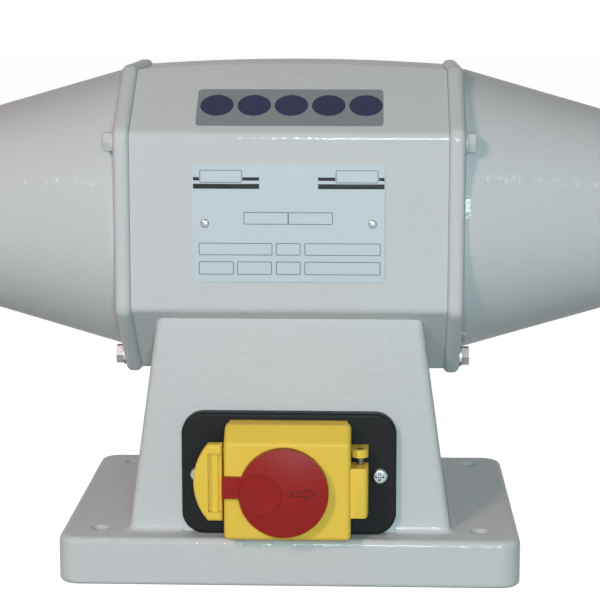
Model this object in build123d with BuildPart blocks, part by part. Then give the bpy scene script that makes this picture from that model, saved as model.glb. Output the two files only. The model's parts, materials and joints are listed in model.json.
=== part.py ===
from build123d import *
import os
from math import asin, cos, radians, sin, sqrt, tan

# A double-ended bench polisher in millimetres: X along the shaft, the front towards -Y, Z up,
# with the origin under the middle of the base.

# Base and pedestal
base_width = 210.0
base_depth = 158.0
base_thickness = 22.0
base_corner_radius = 9.5
base_top_radius = 3.0
base_bottom_radius = 2.0
bench_spacing_x = 174.0
bench_spacing_y = 124.0
bench_hole = 9.0
pedestal_foot_width = 147.6
pedestal_depth = 130.0
pedestal_lean = 8.0
pedestal_edge_radius = 3.5
pedestal_foot_fillet = 3.0
pedestal_wall = 6.5
pedestal_roof = 8.0
pedestal_lip_drop = 4.2
cover_thickness = 1.5
cover_recess = 4.8
cover_ledge = 8.0
cover_screw = 4.0
cover_screw_length = 12.0
cover_screw_pitch = 70.0

# Motor housing, an octagon with a crowned top
axis_height = 163.5
housing_length = 141.2
housing_size = 140.0
housing_top = 67.0
housing_bottom = 72.0
housing_front_flat = 79.0
housing_front_lift = 1.0
housing_top_flat = 62.0
housing_edge_radius = 4.0
housing_crown = 2.6
housing_bolt = 8.0
housing_bolt_flats = 13.0
housing_bolt_head = 5.3
housing_bolt_reach = 11.0
housing_bolt_spacing_x = 90.0
housing_bolt_spacing_y = 44.0
lead_hole = 16.0
lead_place_x = 40.0

# End bells
flange_thickness = 7.4
flange_overhang = 2.0
flange_corner_radius = 7.0
flange_round = 3.0
spigot_length = 8.0
spigot_wall = 4.0
cone_radius = 65.8
cone_land = 2.5
cone_angle = 16.0
cone_wall = 5.0
nose_radius = 30.0
nose_length = 16.0
nose_round = 4.0
nose_blend = 20.0
seat_length = 22.0
seat_lip = 2.5
seat_lip_radius = 15.0
bell_bolt = 5.0
bell_bolt_flats = 8.0
bell_bolt_head = 3.5
bell_bolt_reach = 12.0
bell_pocket_radius = 6.0
upper_bolt_y = 62.4
upper_bolt_z = 36.5
lower_bolt_y = 29.0
lower_bolt_z = -66.0

# Stator and rotor
stator_diameter = 120.0
stator_length = 70.0
rotor_diameter = 65.2
rotor_overhang = 1.0
air_gap = 0.4
slot_count = 24
slot_inner_radius = 37.0
slot_length = 12.0
slot_width = 5.0
end_turn_length = 17.0
end_turn_inner_radius = 36.0
end_turn_outer_radius = 51.0
end_ring_inner_radius = 17.0
end_ring_length = 9.0
blade_count = 9
blade_length = 7.0
blade_height = 9.0
blade_thickness = 3.0

# Shaft and ball bearings
shaft_diameter = 24.0
bearing_bore = 20.0
bearing_diameter = 47.0
bearing_width = 14.0
ball_diameter = 7.9
ball_count = 8
ball_pitch_radius = 16.75
inner_land_radius = 13.9
outer_land_radius = 19.6
cage_thickness = 2.2
cage_width = 9.4
preload_thickness = 1.2
seal_radius = 16.5
seal_width = 6.0
seal_lip_width = 1.5
arbor_diameter = 16.0
arbor_gap = 2.0
arbor_stub = 5.0
arbor_chamfer = 1.0

# Buffs and their clamps
buff_diameter = 200.0
buff_width = 24.0
ply_count = 8
ply_valley = 2.5
clamp_radius = 35.0
clamp_hub_radius = 14.0
clamp_thickness = 11.0
clamp_rim = 5.0
clamp_band = 8.0
clamp_recess = 1.5
nut_flats = 24.0
nut_thickness = 13.0
nut_chamfer = 1.6
nut_chamfer_length = 1.0

# Front plate and strip on the motor housing
plate_width = 85.1
plate_height = 52.4
plate_thickness = 0.8
plate_corner_radius = 2.0
rivet_spacing = 74.4
rivet_edge = 4.0
rivet_diameter = 2.4
rivet_head = 4.0
rivet_head_height = 1.0
rivet_head_round = 0.6
rivet_length = 5.0
strip_width = 83.3
strip_height = 26.0
strip_thickness = 0.4
strip_drop = 4.7

# Switch on the pedestal front, with depths measured outwards from that face
bezel_width = 97.2
bezel_height = 56.2
bezel_thickness = 6.0
bezel_lift = 0.4
bezel_corner_radius = 10.0
bezel_edge_radius = 1.5
bezel_screw_spacing = 82.0
bezel_screw = 4.0
bezel_screw_length = 11.0
screw_head = 7.4
screw_head_height = 2.4
screw_head_round = 1.2
switch_width = 58.0
switch_height = 32.0
switch_reach = 35.0
button_width = 20.0
button_height = 26.0
button_pitch = 25.0
button_length = 10.0
start_button_rise = 3.5
stop_button_rise = 5.0
button_travel = 3.0
button_edge_radius = 1.5
blade_terminal_width = 6.3
blade_terminal_thickness = 0.8
blade_terminal_length = 10.0
frame_width = 53.0
frame_height = 50.0
frame_thickness = 4.0
frame_bar = 4.0
latch_height = 50.2
keeper_width = 13.0
keeper_height = 35.0
keeper_bulge = 6.5
keeper_depth = 12.0
keeper_plate = 5.0
keeper_edge_radius = 1.4
keeper_post_width = 3.0
keeper_post_height = 24.0
keeper_foot = 5.0
keeper_slot_width = 6.0
keeper_slot_height = 27.0
keeper_slot_depth = 3.6
keeper_bar_width = 2.6
keeper_bar_height = 1.6
keeper_gap = 0.8
flap_width = 56.5
flap_height = 50.9
flap_depth = 14.7
flap_wall = 2.0
flap_bevel_drop = 6.4
flap_bevel_depth = 9.5
flap_edge_radius = 2.4
flap_lift = 2.2
collar_radius = 19.0
collar_rise = 1.0
cap_radius = 19.9
cap_place_x = -1.4
cap_drop = 2.3
cap_height = 6.7
cap_dome = 1.8
cap_dish_radius = 9.5
cap_dish_depth = 0.8
cap_dish_offset = 10.0
cap_stem_radius = 6.0
cap_keeper_radius = 9.0
cap_keeper_thickness = 2.0
cap_travel = 5.0
tongue_width = 9.6
tongue_lift = 1.6
tongue_thickness = 2.6
tongue_overhang = 0.5
hinge_offset = 4.0
hinge_depth = 14.0
hinge_pin = 3.0
hinge_drop = 2.0
lug_height = 18.5
lug_depth = 9.6
lug_edge_radius = 1.5
ear_height = 3.6
ear_gap = 0.5
ear_rise = 3.1

# Inside the pedestal
capacitor_diameter = 36.0
capacitor_length = 62.0
capacitor_height = 40.0
clip_thickness = 1.5
clip_width = 15.0
clip_tab = 8.0
clip_screw = 4.0
clip_screw_reach = 5.0
terminal_length = 50.0
terminal_depth = 18.0
terminal_height = 16.0
terminal_place_y = 0.0
terminal_ways = 5
terminal_hole = 4.0
grommet_flange = 2.4
grommet_rim = 2.5
grommet_bore = 9.0
lead_diameter = 7.0
lead_bend = 8.0
earth_screw = 5.0
earth_place_x = -44.0
earth_screw_reach = 6.0
earth_head = 9.0
earth_head_height = 3.2

# Cable gland on the back
gland_place_x = 48.0
gland_place_z = 44.0
gland_thread = 16.0
gland_flats = 22.0
gland_flange = 5.0
gland_neck = 10.0
gland_bore = 12.0
gland_spigot = 12.0
gland_nut_diameter = 21.0
gland_nut_length = 16.0
gland_mouth = 9.0
gland_mouth_length = 6.0
gland_dome = 4.0
gland_seal_bore = 10.0
gland_seal_length = 8.0
locknut_thickness = 4.5

# Clearances
press_clearance = 0.03
running_clearance = 0.06
bolt_clearance = 0.3
thread_clearance = 0.05
thread_runout = 1.0
sliding_clearance = 0.3
slot_clearance = 0.25
washer_thickness = 1.0

# Derived heights and places
housing_half = housing_size / 2
front_y = -pedestal_depth / 2
front_high = housing_front_lift + housing_front_flat / 2
front_low = housing_front_lift - housing_front_flat / 2
plate_z = axis_height + housing_front_lift
seat_z = axis_height - housing_bottom
roof_z = seat_z - pedestal_roof
lip_z = axis_height + front_low - pedestal_lip_drop
lean = tan(radians(pedestal_lean))
cavity_floor_width = pedestal_foot_width + 2 * lean * base_thickness - 2 * pedestal_wall
cavity_depth = pedestal_depth - 2 * pedestal_wall
cavity_back = cavity_depth / 2
cover_width = cavity_floor_width + 2 * cover_ledge
cover_depth = cavity_depth + 2 * cover_ledge

# Derived places along the shaft
flange_x = housing_length / 2
cone_x = flange_x + flange_thickness
cone_slope = tan(radians(cone_angle))
cone_start = cone_x + cone_land
cone_end = cone_start + (cone_radius - nose_radius) / cone_slope
nose_x = cone_end + nose_length
seal_x = nose_x - seal_width
seat_end = seal_x - seat_lip
seat_start = seat_end - seat_length
arbor_x = nose_x + arbor_gap
buff_x = arbor_x + clamp_thickness
outer_clamp_x = buff_x + buff_width
nut_x = outer_clamp_x + clamp_thickness
shaft_end = nut_x + nut_thickness + arbor_stub
spigot_x = flange_x - spigot_length
spigot_radius = stator_diameter / 2 - press_clearance
stator_half = stator_length / 2
rotor_half = stator_half + rotor_overhang
bearing_end = {-1: seat_end - preload_thickness, 1: seat_end}
sides = {"left": -1, "right": 1}

# Derived depths of the switch, outwards from the pedestal front
bezel_low = base_thickness + bezel_lift
switch_z = bezel_low + bezel_height / 2
frame_front = bezel_thickness + frame_thickness
flap_back = frame_front + sliding_clearance
flap_front = flap_back + flap_depth
flap_low = bezel_low + flap_lift
flap_high = flap_low + flap_height
flap_left = -flap_width / 2
flap_right = flap_width / 2
collar_front = flap_front + collar_rise
cap_back = collar_front + sliding_clearance
hinge_x = flap_right + hinge_offset
hinge_radius = hinge_offset - sliding_clearance
keeper_right = flap_left - keeper_gap
keeper_left = keeper_right - keeper_width
cap_z = latch_height - cap_drop
tongue_z = cap_z + tongue_lift
hinge_z = latch_height - hinge_drop
lower_ear = -lug_height / 2 - ear_gap - ear_height
upper_ear = lug_height / 2 + ear_gap + ear_rise

octagon = [
    (-housing_half, front_low),
    (-housing_top_flat / 2, -housing_bottom),
    (housing_top_flat / 2, -housing_bottom),
    (housing_half, front_low),
    (housing_half, front_high),
    (housing_top_flat / 2, housing_top),
    (-housing_top_flat / 2, housing_top),
    (-housing_half, front_high),
]
facet_rise = housing_top - front_high
facet_depth = housing_half - housing_top_flat / 2
crown_flat = housing_top_flat - 2 * housing_crown * facet_depth / facet_rise
bell_bolt_places = [
    (-upper_bolt_y, upper_bolt_z),
    (upper_bolt_y, upper_bolt_z),
    (-lower_bolt_y, lower_bolt_z),
    (lower_bolt_y, lower_bolt_z),
]

side_plane = Plane(origin=(0, 0, axis_height), x_dir=(1, 0, 0), z_dir=(0, -1, 0))
shaft_axis = Axis((0, 0, axis_height), (1, 0, 0))
hinge_plane = Plane(origin=(hinge_x, front_y - hinge_depth, hinge_z))


def shaft_plane(x):
    """Plane square to the shaft at x, with Y and Z as its own axes."""
    return Plane(origin=(x, 0, axis_height), x_dir=(0, 1, 0), z_dir=(1, 0, 0))


def front_plane(depth):
    """Plane this far in front of the pedestal, with X and Z as its own axes and its normal outwards."""
    return Plane(origin=(0, front_y - depth, 0), x_dir=(1, 0, 0), z_dir=(0, -1, 0))


def back_plane(y):
    """Plane facing backwards at y, with -X and Z as its own axes."""
    return Plane(origin=(0, y, 0), x_dir=(-1, 0, 0), z_dir=(0, 1, 0))


def pedestal_width(z):
    """Outer width of the leaning pedestal at a height."""
    return pedestal_foot_width - 2 * lean * (z - base_thickness)


def mirrored(sign, points):
    """Shaft profile points of (x, radius), turned over for the left side."""
    return [(sign * x, radius) for x, radius in points]


def cavity_radius(x):
    """Inner radius of the conical wall at x."""
    return cone_radius - cone_slope * (x - cone_start) - cone_wall / cos(radians(cone_angle))


def clamp_profile(hub_x, way):
    """Dished clamp: a hub at hub_x, a flaring web and a rim that bears on the buff."""
    bore = arbor_diameter / 2 + press_clearance
    face = hub_x + way * clamp_thickness
    return [
        (hub_x, bore),
        (hub_x, clamp_hub_radius),
        (face - way * clamp_rim, clamp_radius),
        (face, clamp_radius),
        (face, clamp_radius - clamp_band),
        (face - way * clamp_recess, clamp_radius - clamp_band - clamp_recess),
        (face - way * clamp_recess, bore),
    ]


os.makedirs("parts", exist_ok=True)

# Base and pedestal, one hollow casting that is open underneath
with BuildPart() as base_casting:
    with BuildSketch():
        RectangleRounded(base_width, base_depth, base_corner_radius)
    extrude(amount=base_thickness)
    fillet(base_casting.faces().sort_by(Axis.Z)[-1].edges(), base_top_radius)
    fillet(base_casting.faces().sort_by(Axis.Z)[0].edges(), base_bottom_radius)
    with BuildSketch(Plane.XY.offset(base_thickness)):
        RectangleRounded(pedestal_foot_width, pedestal_depth, pedestal_edge_radius)
    with BuildSketch(Plane.XY.offset(lip_z)):
        RectangleRounded(pedestal_width(lip_z), pedestal_depth, pedestal_edge_radius)
    loft(ruled=True)
    deck = base_casting.faces().filter_by(Axis.Z).filter_by_position(Axis.Z, base_thickness, base_thickness)
    fillet(deck[0].inner_wires()[0].edges(), pedestal_foot_fillet)
    # Saddle for the motor housing
    with BuildSketch(shaft_plane(0)):
        Polygon(*octagon, align=None)
    extrude(amount=base_width / 2, both=True, mode=Mode.SUBTRACT)
    # Leaning cavity with the recess of the underside cover
    with BuildSketch(Plane.XY):
        Rectangle(cavity_floor_width, cavity_depth)
    with BuildSketch(Plane.XY.offset(roof_z)):
        Rectangle(cavity_floor_width - 2 * lean * roof_z, cavity_depth)
    loft(ruled=True, mode=Mode.SUBTRACT)
    with BuildSketch():
        RectangleRounded(cover_width, cover_depth, pedestal_edge_radius)
    extrude(amount=cover_recess, mode=Mode.SUBTRACT)
    with BuildSketch(Plane.XY.offset(cover_recess)):
        with GridLocations(cover_width - cover_ledge, cover_screw_pitch, 2, 2):
            Circle(cover_screw / 2 + thread_clearance)
    extrude(amount=cover_screw_length, mode=Mode.SUBTRACT)
    with BuildSketch():
        with GridLocations(bench_spacing_x, bench_spacing_y, 2, 2):
            Circle(bench_hole / 2)
    extrude(amount=base_thickness, mode=Mode.SUBTRACT)
    # Roof holes for the housing bolts, the motor lead and the earth screw
    with BuildSketch(Plane.XY.offset(roof_z)):
        with GridLocations(housing_bolt_spacing_x, housing_bolt_spacing_y, 2, 2):
            Circle(housing_bolt / 2 + bolt_clearance)
        with Locations((lead_place_x, terminal_place_y)):
            Circle(lead_hole / 2)
    extrude(amount=pedestal_roof, mode=Mode.SUBTRACT)
    with BuildSketch(Plane.XY.offset(roof_z)):
        with Locations((earth_place_x, 0)):
            Circle(earth_screw / 2 + thread_clearance)
    extrude(amount=earth_screw_reach, mode=Mode.SUBTRACT)
    # Flat seat, window and screw holes of the switch
    with BuildSketch(front_plane(0)):
        with Locations((0, (base_thickness + bezel_low + bezel_height) / 2)):
            Rectangle(bezel_width + 2 * sliding_clearance, bezel_height + bezel_lift)
    extrude(amount=pedestal_foot_fillet, mode=Mode.SUBTRACT)
    with BuildSketch(front_plane(0)):
        with Locations((0, switch_z)):
            Rectangle(switch_width + 2 * sliding_clearance, switch_height + 2 * sliding_clearance)
        with Locations((0, latch_height)):
            with GridLocations(bezel_screw_spacing, 0, 2, 1):
                Circle(bezel_screw / 2 + thread_clearance)
    extrude(amount=-pedestal_wall, mode=Mode.SUBTRACT)
    # Gland hole and clip screw holes in the back wall
    with BuildSketch(back_plane(cavity_back)):
        with Locations((-gland_place_x, gland_place_z)):
            Circle(gland_thread / 2 + bolt_clearance)
    extrude(amount=pedestal_wall, mode=Mode.SUBTRACT)
    with BuildSketch(back_plane(cavity_back)):
        with Locations((0, capacitor_height)):
            with GridLocations(0, capacitor_diameter + clip_tab, 1, 2):
                Circle(clip_screw / 2 + thread_clearance)
    extrude(amount=clip_screw_reach, mode=Mode.SUBTRACT)
base_casting.part.label = "base_casting"
export_step(base_casting.part, "parts/base_casting.step")

# Sheet cover under the base
with BuildPart() as base_cover:
    with BuildSketch(Plane.XY.offset(cover_recess - cover_thickness)) as outline:
        RectangleRounded(
            cover_width - 2 * bolt_clearance,
            cover_depth - 2 * bolt_clearance,
            pedestal_edge_radius,
        )
        with GridLocations(cover_width - cover_ledge, cover_screw_pitch, 2, 2):
            Circle(cover_screw / 2 + bolt_clearance, mode=Mode.SUBTRACT)
    extrude(amount=cover_thickness)
base_cover.part.label = "base_cover"
export_step(base_cover.part, "parts/base_cover.step")

with BuildPart() as cover_screws:
    with BuildSketch(Plane.XY.offset(cover_recess - cover_thickness)):
        with GridLocations(cover_width - cover_ledge, cover_screw_pitch, 2, 2):
            Circle(screw_head / 2)
    extrude(amount=-screw_head_height)
    with BuildSketch(Plane.XY.offset(cover_recess - cover_thickness)):
        with GridLocations(cover_width - cover_ledge, cover_screw_pitch, 2, 2):
            Circle(cover_screw / 2)
    extrude(amount=cover_screw_length)
cover_screws.part.label = "cover_screws"
export_step(cover_screws.part, "parts/cover_screws.step")

# Motor housing
with BuildPart() as motor_housing:
    with BuildSketch(shaft_plane(0)) as section:
        Polygon(
            *octagon[:5],
            (crown_flat / 2, housing_top + housing_crown),
            (-crown_flat / 2, housing_top + housing_crown),
            octagon[7],
            align=None,
        )
        fillet(section.vertices().sort_by(Axis.Y)[:-2], housing_edge_radius)
    extrude(amount=flange_x, both=True)
    with BuildSketch(side_plane):
        with BuildLine():
            crown_top = housing_top + housing_crown
            ThreePointArc((-flange_x, housing_top), (0, crown_top), (flange_x, housing_top))
            Polyline(
                (flange_x, housing_top),
                (flange_x, -housing_bottom),
                (-flange_x, -housing_bottom),
                (-flange_x, housing_top),
            )
        make_face()
    extrude(amount=housing_half, both=True, mode=Mode.INTERSECT)
    fillet(motor_housing.edges().sort_by(Axis.Z)[-2:], housing_edge_radius)
    with BuildSketch(shaft_plane(0)):
        Circle(stator_diameter / 2)
    extrude(amount=flange_x, both=True, mode=Mode.SUBTRACT)
    for sign in sides.values():
        with BuildSketch(shaft_plane(sign * flange_x)):
            with Locations(*bell_bolt_places):
                Circle(bell_bolt / 2 + thread_clearance)
        extrude(amount=-sign * (bell_bolt_reach + thread_runout), mode=Mode.SUBTRACT)
    with BuildSketch(Plane.XY.offset(seat_z)):
        with GridLocations(housing_bolt_spacing_x, housing_bolt_spacing_y, 2, 2):
            Circle(housing_bolt / 2 + thread_clearance)
    extrude(amount=housing_bolt_reach + thread_runout, mode=Mode.SUBTRACT)
    with BuildSketch(Plane.XY.offset(seat_z)):
        with Locations((lead_place_x, terminal_place_y)):
            Circle(lead_hole / 2)
    extrude(amount=housing_half, mode=Mode.SUBTRACT)
    with BuildSketch(front_plane(housing_half + front_y)):
        with Locations((0, plate_z)):
            with GridLocations(rivet_spacing, 0, 2, 1):
                Circle(rivet_diameter / 2 + thread_clearance)
    extrude(amount=-rivet_length, mode=Mode.SUBTRACT)
motor_housing.part.label = "motor_housing"
export_step(motor_housing.part, "parts/motor_housing.step")

with BuildPart() as housing_bolts:
    with BuildSketch(Plane.XY.offset(roof_z)):
        with GridLocations(housing_bolt_spacing_x, housing_bolt_spacing_y, 2, 2):
            RegularPolygon(housing_bolt_flats / 2, 6, major_radius=False)
    extrude(amount=-housing_bolt_head)
    with BuildSketch(Plane.XY.offset(roof_z)):
        with GridLocations(housing_bolt_spacing_x, housing_bolt_spacing_y, 2, 2):
            Circle(housing_bolt / 2)
    extrude(amount=pedestal_roof + housing_bolt_reach)
housing_bolts.part.label = "housing_bolts"
export_step(housing_bolts.part, "parts/housing_bolts.step")

# End bells: octagonal flange, register spigot, long hollow cone and bearing nose
for side, sign in sides.items():
    with BuildPart() as end_bell:
        with BuildSketch(shaft_plane(sign * flange_x)) as rim:
            Polygon(*octagon, align=None)
            offset(amount=flange_overhang, kind=Kind.INTERSECTION)
            fillet(rim.vertices(), flange_corner_radius)
        extrude(amount=sign * flange_thickness)
        fillet(end_bell.faces().filter_by(Axis.X).edges(), flange_round)
        with BuildSketch(side_plane):
            with BuildLine():
                Polyline(
                    *mirrored(
                        sign,
                        [
                            (nose_x, 0),
                            (spigot_x, 0),
                            (spigot_x, spigot_radius),
                            (cone_x, spigot_radius),
                            (cone_x, cone_radius),
                            (cone_start, cone_radius),
                        ],
                    )
                )
                FilletPolyline(
                    *mirrored(
                        sign,
                        [
                            (cone_start, cone_radius),
                            (cone_end, nose_radius),
                            (nose_x, nose_radius),
                            (nose_x, 0),
                        ],
                    ),
                    radius=[nose_blend, nose_round],
                )
            make_face()
        revolve(axis=shaft_axis)
        cavity_inner = spigot_radius - spigot_wall
        cavity_bend = cone_start + (cavity_radius(cone_start) - cavity_inner) / cone_slope
        with BuildSketch(side_plane):
            Polygon(
                *mirrored(
                    sign,
                    [
                        (spigot_x, 0),
                        (spigot_x, cavity_inner),
                        (cavity_bend, cavity_inner),
                        (seat_start, cavity_radius(seat_start)),
                        (seat_start, bearing_diameter / 2 + press_clearance),
                        (seat_end, bearing_diameter / 2 + press_clearance),
                        (seat_end, seat_lip_radius),
                        (seal_x, seat_lip_radius),
                        (seal_x, seal_radius),
                        (nose_x, seal_radius),
                        (nose_x, 0),
                    ],
                ),
                align=None,
            )
        revolve(axis=shaft_axis, mode=Mode.SUBTRACT)
        with BuildSketch(shaft_plane(sign * cone_x)):
            with Locations(*bell_bolt_places):
                Circle(bell_pocket_radius)
        extrude(amount=sign * cone_radius, mode=Mode.SUBTRACT)
        with BuildSketch(shaft_plane(sign * flange_x)):
            with Locations(*bell_bolt_places):
                Circle(bell_bolt / 2 + bolt_clearance)
        extrude(amount=sign * flange_thickness, mode=Mode.SUBTRACT)
    end_bell.part.label = f"{side}_end_bell"
    export_step(end_bell.part, f"parts/{side}_end_bell.step")

with BuildPart() as bell_washers:
    for sign in sides.values():
        with BuildSketch(shaft_plane(sign * cone_x)):
            with Locations(*bell_bolt_places):
                Circle(bell_bolt)
                Circle(bell_bolt / 2 + bolt_clearance, mode=Mode.SUBTRACT)
        extrude(amount=sign * washer_thickness)
bell_washers.part.label = "bell_washers"
export_step(bell_washers.part, "parts/bell_washers.step")

with BuildPart() as bell_bolts:
    for sign in sides.values():
        with BuildSketch(shaft_plane(sign * (cone_x + washer_thickness))):
            with Locations(*bell_bolt_places):
                RegularPolygon(bell_bolt_flats / 2, 6, major_radius=False)
        extrude(amount=sign * bell_bolt_head)
        with BuildSketch(shaft_plane(sign * (cone_x + washer_thickness))):
            with Locations(*bell_bolt_places):
                Circle(bell_bolt / 2)
        extrude(amount=-sign * (washer_thickness + flange_thickness + bell_bolt_reach))
bell_bolts.part.label = "bell_bolts"
export_step(bell_bolts.part, "parts/bell_bolts.step")

# Stator
with BuildPart() as stator_core:
    with BuildSketch(shaft_plane(0)):
        Circle(stator_diameter / 2 - press_clearance)
        Circle(rotor_diameter / 2 + air_gap, mode=Mode.SUBTRACT)
        with PolarLocations(slot_inner_radius + slot_length / 2, slot_count):
            Rectangle(slot_length, slot_width, mode=Mode.SUBTRACT)
    extrude(amount=stator_half, both=True)
stator_core.part.label = "stator_core"
export_step(stator_core.part, "parts/stator_core.step")

with BuildPart() as stator_winding:
    with BuildSketch(shaft_plane(0)):
        with PolarLocations(slot_inner_radius + slot_length / 2, slot_count):
            Rectangle(slot_length - 2 * slot_clearance, slot_width - 2 * slot_clearance)
    extrude(amount=stator_half + end_turn_length / 2, both=True)
    for sign in sides.values():
        with BuildSketch(side_plane):
            with Locations(
                (
                    sign * (stator_half + slot_clearance + end_turn_length / 2),
                    (end_turn_inner_radius + end_turn_outer_radius) / 2,
                )
            ):
                Rectangle(end_turn_length, end_turn_outer_radius - end_turn_inner_radius)
        revolve(axis=shaft_axis)
stator_winding.part.label = "stator_winding"
export_step(stator_winding.part, "parts/stator_winding.step")

# Rotor
with BuildPart() as rotor_core:
    with BuildSketch(shaft_plane(0)):
        Circle(rotor_diameter / 2)
        Circle(shaft_diameter / 2 + press_clearance, mode=Mode.SUBTRACT)
    extrude(amount=rotor_half, both=True)
rotor_core.part.label = "rotor_core"
export_step(rotor_core.part, "parts/rotor_core.step")

with BuildPart() as rotor_end_rings:
    for sign in sides.values():
        with BuildSketch(shaft_plane(sign * rotor_half)):
            Circle(rotor_diameter / 2 - air_gap)
            Circle(end_ring_inner_radius, mode=Mode.SUBTRACT)
        extrude(amount=sign * end_ring_length)
        with BuildSketch(shaft_plane(sign * (rotor_half + end_ring_length))):
            with PolarLocations((end_ring_inner_radius + rotor_diameter / 2) / 2, blade_count):
                Rectangle(blade_height, blade_thickness)
        extrude(amount=sign * blade_length)
rotor_end_rings.part.label = "rotor_end_rings"
export_step(rotor_end_rings.part, "parts/rotor_end_rings.step")

# Shaft: rotor seat, bearing seats against shoulders and an arbor at each end
with BuildPart() as shaft:
    left_shoulder = bearing_end[-1] - bearing_width
    right_shoulder = bearing_end[1] - bearing_width
    arbor_end = [
        (arbor_x, bearing_bore / 2),
        (arbor_x, arbor_diameter / 2),
        (shaft_end - arbor_chamfer, arbor_diameter / 2),
        (shaft_end, arbor_diameter / 2 - arbor_chamfer),
        (shaft_end, 0),
    ]
    with BuildSketch(side_plane):
        Polygon(
            *mirrored(-1, arbor_end[::-1]),
            (-left_shoulder, bearing_bore / 2),
            (-left_shoulder, shaft_diameter / 2),
            (right_shoulder, shaft_diameter / 2),
            (right_shoulder, bearing_bore / 2),
            *arbor_end,
            align=None,
        )
    revolve(axis=shaft_axis)
shaft.part.label = "shaft"
export_step(shaft.part, "parts/shaft.step")

# Ball bearings and shaft seals
for side, sign in sides.items():
    bearing_middle = sign * (bearing_end[sign] - bearing_width / 2)
    race_radius = ball_diameter / 2 + running_clearance
    with BuildPart() as outer_ring:
        with BuildSketch(side_plane):
            with Locations((bearing_middle, (outer_land_radius + bearing_diameter / 2) / 2)):
                Rectangle(bearing_width, bearing_diameter / 2 - outer_land_radius)
            with Locations((bearing_middle, ball_pitch_radius)):
                Circle(race_radius, mode=Mode.SUBTRACT)
        revolve(axis=shaft_axis)
    outer_ring.part.label = f"{side}_bearing_outer"
    export_step(outer_ring.part, f"parts/{side}_bearing_outer.step")

    with BuildPart() as inner_ring:
        inner_bore = bearing_bore / 2 + press_clearance
        with BuildSketch(side_plane):
            with Locations((bearing_middle, (inner_bore + inner_land_radius) / 2)):
                Rectangle(bearing_width, inner_land_radius - inner_bore)
            with Locations((bearing_middle, ball_pitch_radius)):
                Circle(race_radius, mode=Mode.SUBTRACT)
        revolve(axis=shaft_axis)
    inner_ring.part.label = f"{side}_bearing_inner"
    export_step(inner_ring.part, f"parts/{side}_bearing_inner.step")

    with BuildPart(shaft_plane(bearing_middle)) as balls:
        with PolarLocations(ball_pitch_radius, ball_count):
            Sphere(ball_diameter / 2)
    balls.part.label = f"{side}_bearing_balls"
    export_step(balls.part, f"parts/{side}_bearing_balls.step")

    with BuildPart(shaft_plane(bearing_middle)) as cage:
        with BuildSketch(side_plane):
            with Locations((bearing_middle, ball_pitch_radius)):
                Rectangle(cage_width, cage_thickness)
        revolve(axis=shaft_axis)
        with PolarLocations(ball_pitch_radius, ball_count):
            Cylinder(
                ball_diameter / 2 + 2 * running_clearance,
                2 * cage_thickness,
                rotation=(0, 90, 0),
                mode=Mode.SUBTRACT,
            )
    cage.part.label = f"{side}_bearing_cage"
    export_step(cage.part, f"parts/{side}_bearing_cage.step")

    with BuildPart() as seal:
        with BuildSketch(side_plane):
            Polygon(
                *mirrored(
                    sign,
                    [
                        (seal_x, seal_radius - press_clearance),
                        (nose_x, seal_radius - press_clearance),
                        (nose_x, bearing_bore / 2 + seal_lip_width),
                        (nose_x - seal_width / 2, bearing_bore / 2 + running_clearance),
                        (seal_x, bearing_bore / 2 + seal_lip_width),
                    ],
                ),
                align=None,
            )
        revolve(axis=shaft_axis)
    seal.part.label = f"{side}_seal"
    export_step(seal.part, f"parts/{side}_seal.step")

# Preload washer between the left bearing and its seat
with BuildPart() as preload_washer:
    with BuildSketch(shaft_plane(-seat_end)):
        Circle(bearing_diameter / 2 - bolt_clearance)
        Circle(outer_land_radius, mode=Mode.SUBTRACT)
    extrude(amount=preload_thickness)
preload_washer.part.label = "preload_washer"
export_step(preload_washer.part, "parts/preload_washer.step")

# Buffs, their clamp flanges and the arbor nuts
for side, sign in sides.items():
    with BuildPart() as inner_clamp:
        with BuildSketch(side_plane):
            Polygon(*mirrored(sign, clamp_profile(arbor_x, 1)), align=None)
        revolve(axis=shaft_axis)
    inner_clamp.part.label = f"{side}_inner_clamp"
    export_step(inner_clamp.part, f"parts/{side}_inner_clamp.step")

    with BuildPart() as outer_clamp:
        with BuildSketch(side_plane):
            Polygon(*mirrored(sign, clamp_profile(nut_x, -1)), align=None)
        revolve(axis=shaft_axis)
    outer_clamp.part.label = f"{side}_outer_clamp"
    export_step(outer_clamp.part, f"parts/{side}_outer_clamp.step")

    with BuildPart() as buff:
        ply_edges = [
            (buff_x + buff_width * step / (2 * ply_count), buff_diameter / 2 - ply_valley * ((step + 1) % 2))
            for step in range(2 * ply_count + 1)
        ]
        buff_bore = arbor_diameter / 2 + press_clearance
        with BuildSketch(side_plane):
            Polygon(
                *mirrored(sign, [(buff_x, buff_bore), *ply_edges, (buff_x + buff_width, buff_bore)]),
                align=None,
            )
        revolve(axis=shaft_axis)
    buff.part.label = f"{side}_buff"
    export_step(buff.part, f"parts/{side}_buff.step")

    with BuildPart() as nut:
        corner = nut_flats / sqrt(3)
        with BuildSketch(shaft_plane(sign * nut_x)):
            RegularPolygon(nut_flats / 2, 6, major_radius=False)
            Circle(arbor_diameter / 2 + thread_clearance, mode=Mode.SUBTRACT)
        extrude(amount=sign * nut_thickness)
        with BuildSketch(side_plane):
            Polygon(
                *mirrored(
                    sign,
                    [
                        (nut_x, 0),
                        (nut_x, corner),
                        (nut_x + nut_thickness - nut_chamfer_length, corner),
                        (nut_x + nut_thickness, corner - nut_chamfer),
                        (nut_x + nut_thickness, 0),
                    ],
                ),
                align=None,
            )
        revolve(axis=shaft_axis, mode=Mode.INTERSECT)
    nut.part.label = f"{side}_arbor_nut"
    export_step(nut.part, f"parts/{side}_arbor_nut.step")

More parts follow.
